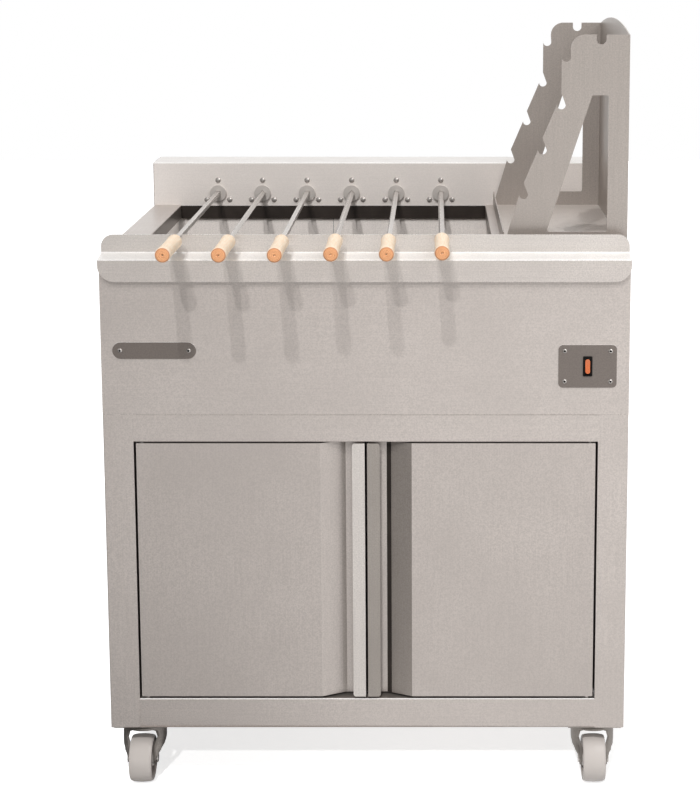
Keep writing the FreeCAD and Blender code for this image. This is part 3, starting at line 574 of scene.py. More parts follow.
class Nodes:
    """Adds shader nodes to a tree and wires them."""

    def __init__(self, tree: bpy.types.NodeTree) -> None:
        """Work on one node tree."""
        self.tree = tree

    def add(self, kind: str, **values: object) -> bpy.types.Node:
        """Add a node.

        Args:
            kind: Node type without its ShaderNode prefix.
            values: Node settings, or input values under the input's name in lower case with low lines.

        Returns:
            The node.
        """
        node = self.tree.nodes.new("ShaderNode" + kind)
        for key, value in values.items():
            sockets = [s for s in node.inputs if s.name.lower().replace(" ", "_") == key]
            if sockets:
                self.feed(sockets[0], value)
            else:
                setattr(node, key, value)
        return node

    def feed(self, socket: bpy.types.NodeSocket, value: object) -> None:
        """Give an input a value or wire an output to it.

        Args:
            socket: The input.
            value: A value or an output.
        """
        if isinstance(value, bpy.types.NodeSocket):
            self.tree.links.new(value, socket)
        else:
            socket.default_value = value

    def math(self, operation: str, first: object, second: object = 0.0) -> bpy.types.NodeSocket:
        """Output of a Math node.

        Args:
            operation: What the node does.
            first: First value or output.
            second: Second value or output.

        Returns:
            The output.
        """
        node = self.tree.nodes.new("ShaderNodeMath")
        node.operation = operation
        self.feed(node.inputs[0], first)
        self.feed(node.inputs[1], second)
        return node.outputs[0]

    def span(self, value: object, low: float, high: float, start: float = 0.0,
             end: float = 1.0) -> bpy.types.NodeSocket:
        """Value stretched from low..high to start..end, clamped.

        Args:
            value: Value or output to stretch.
            low: Value that becomes start.
            high: Value that becomes end.
            start: Result at low.
            end: Result at high.

        Returns:
            The output.
        """
        node = self.tree.nodes.new("ShaderNodeMapRange")
        for socket, fed in zip(node.inputs[:5], (value, low, high, start, end)):
            self.feed(socket, fed)
        return node.outputs[0]

    def mix(self, share: object, first: object, second: object) -> bpy.types.NodeSocket:
        """Colour between two colours.

        Args:
            share: Share of the second colour.
            first: First colour or output.
            second: Second colour or output.

        Returns:
            The output.
        """
        node = self.tree.nodes.new("ShaderNodeMix")
        node.data_type = "RGBA"
        colours = [s for s in node.inputs if s.type == "RGBA"]
        self.feed(node.inputs[0], share)
        for socket, value in zip(colours, (first, second)):
            self.feed(socket, (*value, 1.0) if isinstance(value, tuple) and len(value) == 3 else value)
        return next(s for s in node.outputs if s.type == "RGBA")

    def noise(self, vector: object, scale: float, detail: float = 2.0) -> bpy.types.NodeSocket:
        """Noise value at a scale given in cells per metre.

        Args:
            vector: Output that gives the place.
            scale: Cells per metre.
            detail: Number of finer layers.

        Returns:
            The output.
        """
        node = self.tree.nodes.new("ShaderNodeTexNoise")
        self.feed(node.inputs["Vector"], vector)
        node.inputs["Scale"].default_value = scale
        node.inputs["Detail"].default_value = detail
        return node.outputs[0]


def make_group(name: str, inputs: dict[str, str], outputs: dict[str, str]) -> tuple[Nodes, dict, dict]:
    """Start a shader node group with named sockets.

    Args:
        name: Name of the group.
        inputs: Socket kind of each input, such as Float.
        outputs: Socket kind of each output.

    Returns:
        The group's nodes, its inputs as seen from inside, and its outputs as seen from inside.
    """
    tree = bpy.data.node_groups.new(name, "ShaderNodeTree")
    for key, kind in inputs.items():
        tree.interface.new_socket(name=key, in_out="INPUT", socket_type="NodeSocket" + kind)
    for key, kind in outputs.items():
        tree.interface.new_socket(name=key, in_out="OUTPUT", socket_type="NodeSocket" + kind)
    start = tree.nodes.new("NodeGroupInput")
    end = tree.nodes.new("NodeGroupOutput")
    return Nodes(tree), {s.name: s for s in start.outputs}, {s.name: s for s in end.inputs}


def brushed_group() -> bpy.types.NodeTree:
    """Brushed streaks along one direction, with the fine speckle of satin sheet.

    Returns:
        The group.
    """
    nodes, given, made = make_group("brushed grain", {"Vector": "Vector", "Stretch": "Vector"},
                                    {"Streaks": "Float", "Speckle": "Float", "Height": "Float"})
    stretched = nodes.add("VectorMath", operation="MULTIPLY")
    nodes.feed(stretched.inputs[0], given["Vector"])
    nodes.feed(stretched.inputs[1], given["Stretch"])
    streaks = nodes.noise(stretched.outputs[0], 1.0, 3.0)
    speckle = nodes.noise(given["Vector"], 430.0, 3.0)
    nodes.feed(made["Streaks"], nodes.span(streaks, 0.3, 0.7))
    nodes.feed(made["Speckle"], nodes.span(speckle, 0.35, 0.65))
    nodes.feed(made["Height"], nodes.math("ADD", streaks, nodes.math("MULTIPLY", speckle, 0.4)))
    return nodes.tree


def cloud_group() -> bpy.types.NodeTree:
    """Broad soft patches, as handling and rolling leave on sheet.

    Returns:
        The group.
    """
    nodes, given, made = make_group("soft patches", {"Vector": "Vector"}, {"Value": "Float"})
    broad = nodes.noise(given["Vector"], 3.2, 2.0)
    small = nodes.noise(given["Vector"], 17.0, 3.0)
    both = nodes.math("ADD", nodes.math("MULTIPLY", broad, 0.7), nodes.math("MULTIPLY", small, 0.3))
    nodes.feed(made["Value"], nodes.span(both, 0.35, 0.65))
    return nodes.tree


def wear_group() -> bpy.types.NodeTree:
    """Mask of rubbed edges, broken up by noise.

    Returns:
        The group.
    """
    nodes, given, made = make_group("edge wear", {"Vector": "Vector"}, {"Mask": "Float"})
    edges = nodes.add("Attribute", attribute_name="wear")
    broken = nodes.span(nodes.noise(given["Vector"], 55.0, 4.0), 0.3, 0.6, 0.35, 1.0)
    nodes.feed(made["Mask"], nodes.math("MULTIPLY", edges.outputs["Fac"], broken))
    return nodes.tree


def dust_group() -> bpy.types.NodeTree:
    """Mask of fine dust on faces that look up.

    Returns:
        The group.
    """
    nodes, given, made = make_group("settled dust", {"Vector": "Vector", "Normal": "Vector"},
                                    {"Mask": "Float"})
    parts = nodes.add("SeparateXYZ")
    nodes.feed(parts.inputs[0], given["Normal"])
    upward = nodes.span(parts.outputs[2], 0.35, 0.95)
    patches = nodes.span(nodes.noise(given["Vector"], 38.0, 5.0), 0.42, 0.7)
    nodes.feed(made["Mask"], nodes.math("MULTIPLY", upward, patches))
    return nodes.tree


def soot_group() -> bpy.types.NodeTree:
    """Mask of smoke marks with a cloudy outline.

    Returns:
        The group.
    """
    nodes, given, made = make_group("soot", {"Vector": "Vector", "Amount": "Float"}, {"Mask": "Float"})
    patches = nodes.span(nodes.noise(given["Vector"], 26.0, 5.0), 0.3, 0.7, 0.45, 1.0)
    nodes.feed(made["Mask"], nodes.math("MULTIPLY", given["Amount"], patches))
    return nodes.tree


def timber_group() -> bpy.types.NodeTree:
    """Fibres, growth rings and end grain of a turned handle, from its centred attribute.

    Returns:
        The group.
    """
    nodes, given, made = make_group("turned timber", {"Vector": "Vector"},
                                    {"Fibre": "Float", "Rings": "Float", "Front": "Float", "Rim": "Float"})
    stretched = nodes.add("VectorMath", operation="MULTIPLY")
    nodes.feed(stretched.inputs[0], given["Vector"])
    stretched.inputs[1].default_value = (900.0, 45.0, 900.0)
    fibre = nodes.noise(stretched.outputs[0], 1.0, 4.0)
    radius, along = radius_from(nodes)
    wobble = nodes.math("MULTIPLY", nodes.noise(given["Vector"], 170.0, 2.0), 0.006)
    rings = nodes.math("SINE", nodes.math("MULTIPLY", nodes.math("ADD", radius, wobble), 3600.0))
    nodes.feed(made["Fibre"], nodes.span(fibre, 0.32, 0.68))
    nodes.feed(made["Rings"], nodes.span(rings, -1.0, 1.0))
    nodes.feed(made["Front"], nodes.span(along, 0.0022, 0.0006))
    nodes.feed(made["Rim"], nodes.span(radius, 0.0088, 0.0112))
    return nodes.tree


def lathe_group() -> bpy.types.NodeTree:
    """Fine rings of a turned face round the middle that the centred attribute gives.

    Returns:
        The group.
    """
    nodes, _, made = make_group("lathe rings", {}, {"Height": "Float"})
    radius, _ = radius_from(nodes)
    stretched = nodes.math("MULTIPLY", radius, 900.0)
    spread = nodes.add("CombineXYZ")
    nodes.feed(spread.inputs[0], stretched)
    rings = nodes.noise(spread.outputs[0], 1.0, 4.0)
    nodes.feed(made["Height"], rings)
    return nodes.tree


def radius_from(nodes: Nodes) -> tuple[bpy.types.NodeSocket, bpy.types.NodeSocket]:
    """Distance from the Y axis, and place along it, of the centred attribute.

    Args:
        nodes: Nodes of the group that asks.

    Returns:
        The distance and the place.
    """
    centred = nodes.add("Attribute", attribute_name="centred")
    parts = nodes.add("SeparateXYZ", vector=centred.outputs["Vector"])
    squares = nodes.math("ADD", nodes.math("MULTIPLY", parts.outputs[0], parts.outputs[0]),
                         nodes.math("MULTIPLY", parts.outputs[2], parts.outputs[2]))
    return nodes.math("SQRT", squares), parts.outputs[1]


GROUP_MAKERS: dict[str, Callable[[], bpy.types.NodeTree]] = {
    "brushed grain": brushed_group, "soft patches": cloud_group, "edge wear": wear_group,
    "settled dust": dust_group, "soot": soot_group, "turned timber": timber_group,
    "lathe rings": lathe_group,
}


def place_group(nodes: Nodes, name: str, **values: object) -> dict[str, bpy.types.NodeSocket]:
    """Put a shared group into a material and give its outputs by name.

    Args:
        nodes: Nodes of the material.
        name: Name of the group.
        values: Input values or outputs, by the input's name in lower case.

    Returns:
        The group's outputs by name.
    """
    node = nodes.tree.nodes.new("ShaderNodeGroup")
    node.node_tree = bpy.data.node_groups.get(name) or GROUP_MAKERS[name]()
    for key, value in values.items():
        nodes.feed(node.inputs[key.title()], value)
    return {socket.name: socket for socket in node.outputs}


def new_material(name: str) -> tuple[Nodes, bpy.types.Node, bpy.types.Node, bpy.types.Material]:
    """Material with its shader and its texture coordinates.

    Args:
        name: Name of the finish.

    Returns:
        The material's nodes, its shader, its texture coordinates and the material.
    """
    material = bpy.data.materials.new(FINISH_PREFIX + name)
    material.use_nodes = True
    nodes = Nodes(material.node_tree)
    shader = material.node_tree.nodes["Principled BSDF"]
    return nodes, shader, nodes.add("TexCoord"), material


DUST_ON_STEEL = tone(196, 190, 182)
DUST_ON_DARK = tone(170, 164, 156)
SOOT_COLOUR = tone(40, 35, 32)
STREAK_SHARE = 0.3
SPECKLE_SHARE = 0.7
WEAR_GAIN = 1.45
WEAR_LIFT = 0.04
BRUSH_DEPTH = 0.00004
LATHE_DEPTH = 0.0001
ROUGH_BASE = 0.05
CLOUD_ROUGH = 0.07
SPECKLE_ROUGH = 0.05
DUST_ROUGH = 0.3
WEAR_SMOOTH = 0.12


@dataclass(frozen=True)
class Steel:
    """Satin or bright stainless sheet, bar or turned steel."""

    name: str
    colour: Colour
    grain: Grain = Grain.ACROSS
    roughness: float = 0.35
    metallic: float = 0.56
    contrast: float = 0.15
    patches: float = 0.045
    wear: float = 0.7
    dust: float = 0.12
    soot: float = 0.0
    bump: float = 0.25
    turned: bool = False

    def material(self) -> bpy.types.Material:
        """Build the finish, or find it again.

        Returns:
            The material.
        """
        if FINISH_PREFIX + self.name in bpy.data.materials:
            return bpy.data.materials[FINISH_PREFIX + self.name]
        nodes, shader, place, material = new_material(self.name)
        here = place.outputs["Object"]
        brushed = place_group(nodes, "brushed grain", vector=here, stretch=self.grain.value)
        cloud = place_group(nodes, "soft patches", vector=here)["Value"]
        fine = nodes.math("ADD", nodes.math("MULTIPLY", brushed["Streaks"], STREAK_SHARE),
                          nodes.math("MULTIPLY", brushed["Speckle"], SPECKLE_SHARE))
        low = tuple(c * (1 - self.contrast) for c in self.colour)
        high = tuple(c * (1 + self.contrast) for c in self.colour)
        colour = nodes.mix(fine, low, high)
        shade = tuple(c * (1 - 2 * self.patches) for c in self.colour)
        colour = nodes.mix(nodes.math("MULTIPLY", cloud, 0.5), colour, shade)
        worn = place_group(nodes, "edge wear", vector=here)["Mask"]
        bright = tuple(min(1.0, c * WEAR_GAIN + WEAR_LIFT) for c in self.colour)
        colour = nodes.mix(nodes.math("MULTIPLY", worn, self.wear), colour, bright)
        dusty = place_group(nodes, "settled dust", vector=here, normal=place.outputs["Normal"])["Mask"]
        dusty = nodes.math("MULTIPLY", dusty, self.dust)
        colour = nodes.mix(dusty, colour, DUST_ON_STEEL)
        if self.soot:
            sooty = place_group(nodes, "soot", vector=here, amount=self.soot)["Mask"]
            colour = nodes.mix(sooty, colour, SOOT_COLOUR)
        nodes.feed(shader.inputs["Base Color"], colour)
        rough = nodes.math("ADD", self.roughness - ROUGH_BASE, nodes.math("MULTIPLY", cloud, CLOUD_ROUGH))
        rough = nodes.math("ADD", rough, nodes.math("MULTIPLY", brushed["Speckle"], SPECKLE_ROUGH))
        rough = nodes.math("ADD", rough, nodes.math("MULTIPLY", dusty, DUST_ROUGH))
        rough = nodes.math("SUBTRACT", rough, nodes.math("MULTIPLY", worn, WEAR_SMOOTH))
        nodes.feed(shader.inputs["Roughness"], rough)
        shader.inputs["Metallic"].default_value = self.metallic
        height, depth = brushed["Height"], BRUSH_DEPTH
        if self.turned:
            height, depth = place_group(nodes, "lathe rings")["Height"], LATHE_DEPTH
        bump = nodes.add("Bump", strength=self.bump, distance=depth, height=height)
        nodes.feed(shader.inputs["Normal"], bump.outputs[0])
        return material


@dataclass(frozen=True)
class Timber:
    """Turned beech or birch: pale fibres on the side and darker end grain."""

    name: str
    side: Colour
    side_dark: Colour
    end: Colour
    end_dark: Colour
    roughness: float = 0.55

    def material(self) -> bpy.types.Material:
        """Build the finish, or find it again.

        Returns:
            The material.
        """
        if FINISH_PREFIX + self.name in bpy.data.materials:
            return bpy.data.materials[FINISH_PREFIX + self.name]
        nodes, shader, place, material = new_material(self.name)
        grain = place_group(nodes, "turned timber", vector=place.outputs["Object"])
        side = nodes.mix(grain["Fibre"], self.side_dark, self.side)
        ringed = nodes.math("MULTIPLY", grain["Rings"], 0.55)
        ringed = nodes.math("MAXIMUM", nodes.math("MULTIPLY", grain["Rim"], 0.9), ringed)
        end = nodes.mix(ringed, self.end, self.end_dark)
        nodes.feed(shader.inputs["Base Color"], nodes.mix(grain["Front"], side, end))
        nodes.feed(shader.inputs["Roughness"], nodes.span(grain["Fibre"], 0.0, 1.0, self.roughness + 0.08,
                                                          self.roughness - 0.06))
        bump = nodes.add("Bump", strength=0.35, distance=0.00015, height=grain["Fibre"])
        nodes.feed(shader.inputs["Normal"], bump.outputs[0])
        return material


@dataclass(frozen=True)
class Moulded:
    """Moulded plastic or cast iron: one colour broken by fine texture and dust."""

    name: str
    colour: Colour
    roughness: float = 0.5
    texture: float = 0.2
    dust: float = 0.15
    coat: float = 0.0
    specular: float = 0.5

    def material(self) -> bpy.types.Material:
        """Build the finish, or find it again.

        Returns:
            The material.
        """
        if FINISH_PREFIX + self.name in bpy.data.materials:
            return bpy.data.materials[FINISH_PREFIX + self.name]
        nodes, shader, place, material = new_material(self.name)
        here = place.outputs["Object"]
        skin = nodes.noise(here, 900.0, 3.0)
        cloud = place_group(nodes, "soft patches", vector=here)["Value"]
        low = tuple(c * 0.9 for c in self.colour)
        high = tuple(min(1.0, c * 1.08) for c in self.colour)
        dusty = place_group(nodes, "settled dust", vector=here, normal=place.outputs["Normal"])["Mask"]
        dusty = nodes.math("MULTIPLY", dusty, self.dust)
        colour = nodes.mix(cloud, low, high)
        colour = nodes.mix(dusty, colour, DUST_ON_DARK)
        nodes.feed(shader.inputs["Base Color"], colour)
        nodes.feed(shader.inputs["Roughness"], nodes.span(skin, 0.3, 0.7, self.roughness - 0.05,
                                                          self.roughness + 0.07))
        shader.inputs["Coat Weight"].default_value = self.coat
        shader.inputs["Specular IOR Level"].default_value = self.specular
        bump = nodes.add("Bump", strength=self.texture, distance=0.0001, height=skin)
        nodes.feed(shader.inputs["Normal"], bump.outputs[0])
        return material


Finish = Steel | Timber | Moulded

# The sheet is one steel on the real grill. Its finishes differ here in colour and metallic value because
# some faces carry painted shade or painted light in their own colour: the doors, the rack and its rear
# plate, the tray, the drive face, the rest, the cover's top, the pulls, the liners, the spindle discs, the
# doors' slants and creases, the faces in the door opening, on the doors' returns and on turned-down edges,
# and a painted highlight along upper bends and plate edges.
SATIN = tone(202, 193, 187)
BODY_ACROSS = Steel("satin_steel_across", SATIN, Grain.ACROSS)
BODY_UPRIGHT = Steel("satin_steel_upright", SATIN, Grain.UPRIGHT)
BODY_DEEP = Steel("satin_steel_deep", SATIN, Grain.DEEP)
SHADED_DOOR_STEEL = Steel("door_steel", tone(194, 185, 179), Grain.UPRIGHT)
SHADED_STEEL = Steel("shaded_satin_steel", tone(186, 177, 170), Grain.UPRIGHT)
DIM_STEEL = Steel("dim_satin_steel", tone(166, 157, 150), Grain.UPRIGHT)
SHADED_RACK_STEEL = Steel("rack_steel", tone(183, 174, 167), Grain.UPRIGHT)
LIT_TRAY_STEEL = Steel("tray_steel", tone(222, 213, 206), Grain.DEEP, metallic=0.4)
LIT_FACE_STEEL = Steel("drive_face_steel", tone(240, 232, 226), Grain.ACROSS, metallic=0.3, contrast=0.06)
LIT_REST_STEEL = Steel("rest_steel", tone(210, 202, 196), Grain.ACROSS, bump=0.1)
LIT_REST_FLANGE = Steel("rest_flange_steel", tone(220, 213, 207), Grain.ACROSS, metallic=0.6, bump=0.1)
# Painted highlight, not wear: a pale, barely metallic finish for rounded upper edges, the rest's shelf and
# plate tops.
PAINTED_HIGHLIGHT_STEEL = Steel("rubbed_steel", tone(246, 243, 240), Grain.ACROSS, metallic=0.25, bump=0.1)
LIT_TOP_STEEL = Steel("top_sheet_steel", tone(238, 233, 229), Grain.ACROSS, metallic=0.4)
LIT_PULL_STEEL = Steel("pull_steel", tone(216, 209, 203), Grain.UPRIGHT)
SHADED_PULL_STEEL = Steel("shaded_pull_steel", tone(164, 156, 149), Grain.UPRIGHT)
LIT_SOOTY_LINER = Steel("liner_steel", tone(236, 228, 222), Grain.UPRIGHT, metallic=0.1, soot=0.05)
LIT_LINER = Steel("lit_liner_steel", tone(254, 252, 250), Grain.UPRIGHT, metallic=0.9)
HEARTH_STEEL = Steel("hearth_steel", tone(84, 76, 70), Grain.ACROSS, roughness=0.55, soot=0.7)
# Painted shade for gaps, returns and turned-down edges, with faint soot marks.
PAINTED_SHADE_FAINT_SOOT = Steel("smoked_steel", tone(132, 124, 118), Grain.DEEP, soot=0.12)
# Soot on the drive face's hanging strip; on the right door's crease the same finish is painted shade.
HEAVY_SOOT_AND_SHADE = Steel("sooty_steel", tone(70, 62, 57), Grain.ACROSS, roughness=0.5, metallic=0.3, soot=0.8,
                    dust=0.0, wear=0.2)
DARK_PLATE = Steel("dark_plate_steel", tone(126, 117, 111), Grain.NONE, roughness=0.38, contrast=0.14)
BRIGHT_STEEL = Steel("bright_steel", tone(214, 208, 203), Grain.NONE, roughness=0.2, metallic=0.7, dust=0.0)
ROD_STEEL = Steel("drawn_bar_steel", tone(206, 200, 195), Grain.DEEP, metallic=0.6, dust=0.0)
TURNED_PARTS = Steel("turned_parts", tone(190, 184, 178), Grain.NONE, roughness=0.36, metallic=0.8)
LIT_TURNED_DISC = Steel("turned_disc", tone(220, 213, 207), Grain.NONE, roughness=0.38, metallic=0.5,
                    turned=True, bump=0.03, contrast=0.04)
ZINC_STEEL = Steel("zinc_steel", tone(158, 151, 145), Grain.NONE, roughness=0.36, metallic=0.8,
                   contrast=0.16)
GRATE_IRON = Moulded("grate_iron", tone(48, 44, 41), roughness=0.75, texture=0.5, dust=0.4)
MOTOR_PAINT = Moulded("motor_paint", tone(70, 74, 80), roughness=0.45)
BLACK_PLASTIC = Moulded("black_plastic", tone(20, 18, 17), roughness=0.5, dust=0.0, specular=0.15)
ORANGE_LENS = Moulded("orange_lens", tone(206, 108, 62), roughness=0.3, texture=0.05, dust=0.0, coat=0.2)
POLYAMIDE = Moulded("polyamide", tone(186, 179, 174), roughness=0.4, texture=0.12, dust=0.1, coat=0.1)
HANDLE_WOOD = Timber("handle_wood", tone(255, 240, 218), tone(250, 220, 188), tone(244, 182, 132),
                     tone(166, 94, 58))

NODE_BODIES = {node: body for body, nodes in frame["record"]["behaviour"]["bodies"].items()
               for node in nodes}


def dress(piece: Object, finish: Finish, *nodes: str) -> Object:
    """Give a new piece its finish, and its body and hidden nodes from the nodes it stands for.

    Args:
        piece: The finished piece.
        finish: What its surface is made of.
        nodes: Frame nodes that it stands for; the first gives its body.

    Returns:
        The piece.
    """
    piece.data.materials.clear()
    piece.data.materials.append(finish.material())
    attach(piece, NODE_BODIES[nodes[0]])
    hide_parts(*nodes)
    log.info("%s: %d faces, %s", piece.name, len(piece.data.polygons), finish.name)
    return piece


def dress_more(piece: Object, finish: Finish, test: PairTest) -> None:
    """Give some of a dressed piece's faces a second finish.

    Args:
        piece: The dressed piece.
        finish: The second finish.
        test: Says whether a face with this middle and normal gets it.
    """
    piece.data.materials.append(finish.material())
    index = len(piece.data.materials) - 1
    for face in piece.data.polygons:
        if test(face.center, face.normal):
            face.material_index = index


def coat(node: str, finish: Finish) -> None:
    """Give a frame node that stays a better material.

    Args:
        node: The frame node.
        finish: Its finish.
    """
    piece = frame["nodes"][node]
    if not piece.material_slots:
        piece.data.materials.append(None)
    for place in piece.material_slots:
        place.material = finish.material()
    log.info("%s keeps its shape, %s", node, finish.name)


# Sub-assemblies

@cache
def low_of(node: str) -> Vector:
    """Lowest corner of a frame node."""
    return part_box(node)[0].freeze()


@cache
def high_of(node: str) -> Vector:
    """Highest corner of a frame node."""
    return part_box(node)[1].freeze()


def middle_of(node: str) -> Vector:
    """Middle of a frame node."""
    return (low_of(node) + high_of(node)) / 2


def sheet_from(node: str, finish: Finish, edge: float = SHEET_EDGE) -> Object:
    """Copy a frame node that is flat sheet, soften its edges and dress it."""
    return dress(Blank.from_node(node + "_sheet", node).soften(edge).done(), finish, node)


@dataclass
class Cabinet:
    """Post and rail frame with its panels and floor."""

    tube: float = 0.050
    tube_round: float = 0.0022
    long_edge: float = 0.3
    post_margin: float = 0.01
    edge: float = SHEET_EDGE

    def build(self) -> None:
        """Build and dress the cabinet without its doors."""
        blank = Blank.from_node("cabinet_posts_and_rails", "cabinet_frame")
        blank.round_edges(self.is_tube_edge, self.tube_round, 4)
        piece = dress(blank.soften(self.edge).done(), BODY_UPRIGHT, "cabinet_frame")
        dress_more(piece, BODY_ACROSS, self.is_on_rail)
        # Painted shade on the faces round the door opening.
        dress_more(piece, PAINTED_SHADE_FAINT_SOOT, self.is_in_opening)
        # Painted highlight along the bottom rail's rounded upper edge.
        dress_more(piece, PAINTED_HIGHLIGHT_STEEL, lambda middle, normal: is_upper_bend(normal)
                   and middle.z < low_of("left_door").z
                   and middle.y < low_of("cabinet_frame").y + self.tube_round)
        for node, finish in (("side_panels", BODY_UPRIGHT), ("back_panel", BODY_UPRIGHT),
                             ("cabinet_floor", BODY_ACROSS)):
            sheet_from(node, finish)
        coat("hinge_pins", BRIGHT_STEEL)
        coat("door_magnets", BLACK_PLASTIC)

    def is_tube_edge(self, first: Vector, second: Vector) -> bool:
        """Whether an edge is an outer corner of a post, or a long front or back edge of a rail.

        Args:
            first: One end of the edge.
            second: Its other end.

        Returns:
            Whether it is one.
        """
        if (first - second).length < self.long_edge:
            return False
        low, high = low_of("cabinet_frame"), high_of("cabinet_frame")
        middle = (first + second) / 2
        at_side = near(middle.x, low.x) or near(middle.x, high.x)
        at_face = near(middle.y, low.y) or near(middle.y, high.y)
        return at_face and (at_side or near(first.z, second.z))

    def is_on_rail(self, middle: Vector, normal: Vector) -> bool:
        """Whether a face is on one of the rails across the front or the back."""
        low, high = low_of("back_panel"), high_of("back_panel")
        return low.x < middle.x < high.x and (middle.z < low.z or middle.z > high.z)

    def is_in_opening(self, middle: Vector, normal: Vector) -> bool:
        """Whether a face bounds the door opening, where the closed doors keep it dark.

        Args:
            middle: Middle of the face.
            normal: Its normal.

        Returns:
            Whether it is one.
        """
        low, high = low_of("cabinet_frame"), high_of("cabinet_frame")
        door_low, door_high = low_of("left_door"), high_of("right_door")
        if middle.y > low.y + self.tube or middle.y < low.y + self.tube_round * 0.9:
            return False
        across = abs(normal.z) > SQUARE_ON and door_low.z - self.tube < middle.z < door_high.z + self.tube
        inside = low.x + self.post_margin < middle.x < high.x - self.post_margin
        upright = abs(normal.x) > SQUARE_ON and inside
        return across or upright


@dataclass
class Doors:
    """Two folded doors with slanted finger recesses and upright pulls."""

    fold: float = 0.0016
    edge: float = 0.0003
    pull_width: float = 0.0232
    pull_trim: float = 0.0015
    recess: float = 0.020
    recess_width: float = 0.033
    crease: float = 0.0075
    crease_gap: float = 0.0005
    pull_depth: float = 0.01
    short_edge: float = 0.02
    tall_edge: float = 0.4
    fold_margin: float = 0.0004
    flat: float = 0.95
    frontal: float = 0.5

    def build(self) -> None:
        """Build and dress both doors."""
        # Painted light on the left pull; painted shade on the right pull and on both doors' creases.
        for node, pull, crease in (("left_door", LIT_PULL_STEEL, SHADED_STEEL),
                                   ("right_door", SHADED_PULL_STEEL, HEAVY_SOOT_AND_SHADE)):
            self.door(node, pull, crease)

    def door(self, node: str, pull: Finish, crease: Finish) -> None:
        """One door, with its pull, and painted shade on the crease beside its recess and on its edges.

        Args:
            node: Frame node that it stands for.
            pull: Finish of the upright pull.
            crease: Finish of the slant's deep end, a painted shade.
        """
        low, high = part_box(node)
        outward = -1 if node == "left_door" else 1
        inner = high.x if outward < 0 else low.x
        start = inner + outward * (self.recess_width + self.crease_gap)
        stop = start + outward * self.crease
        blank = Blank.from_node(node + "_leaf", node)
        with blank.editing() as mesh:
            blank.pick_corners(mesh, lambda v: near(v.x, inner))
            bpy.ops.transform.translate(value=(outward * self.pull_trim, 0, 0))
        blank.round_edges(lambda a, b: self.is_fold(a, b, low, high), self.fold, 4)
        blank.soften(self.edge)
        inner += outward * self.pull_trim
        for place in (start, stop):
            blank.split(Vector((place, 0, 0)), Vector((1, 0, 0)))
        # Both doors are a little darker than the plain sheet: painted shade.
        piece = dress(blank.done(), SHADED_DOOR_STEEL, node)
        # Painted shade on the door's returns.
        dress_more(piece, PAINTED_SHADE_FAINT_SOOT, lambda middle, normal: middle.y > low.y + self.fold * 1.5
                   and max(abs(normal.x), abs(normal.z)) > self.flat)
        # Painted highlight along the door's rounded top edge.
        dress_more(piece, PAINTED_HIGHLIGHT_STEEL, lambda middle, normal: is_upper_bend(normal) and normal.y < -0.1
                   and middle.z > high.z - self.fold and middle.y < low.y + self.fold * 2)
        # The right door's slant is darker than the plain sheet: painted shade.
        if outward > 0:
            dress_more(piece, DIM_STEEL, lambda middle, normal: 0 < (middle.x - start) * outward
                       and -self.flat < normal.y < -self.frontal and middle.y > low.y + self.fold * 2)
        dress_more(piece, crease, lambda middle, normal: 0 < (middle.x - start) * outward < self.crease
                   and normal.y < -self.frontal)
        dress_more(piece, pull, lambda middle, normal: abs(middle.x - inner) < self.pull_width
                   and middle.y < low.y + self.pull_depth and abs(normal.y) > self.frontal)

    def is_fold(self, a: Vector, b: Vector, low: Vector, high: Vector) -> bool:
        """Whether an edge is an upright fold of the skin, or runs along its top or bottom.

        Args:
            a: One end of the edge.
            b: Its other end.
            low: Lowest corner of the door.
            high: Highest corner of the door.

        Returns:
            Whether it is one.
        """
        if (a - b).length < self.short_edge:
            return False
        upright = near(a.x, b.x) and near(a.y, b.y) and abs(a.z - b.z) > self.tall_edge
        at_end = (near(a.z, high.z) and near(b.z, high.z)) or (near(a.z, low.z) and near(b.z, low.z))
        outside = max(a.y, b.y) < low.y + self.recess + self.fold_margin
        return outside and (upright or at_end)


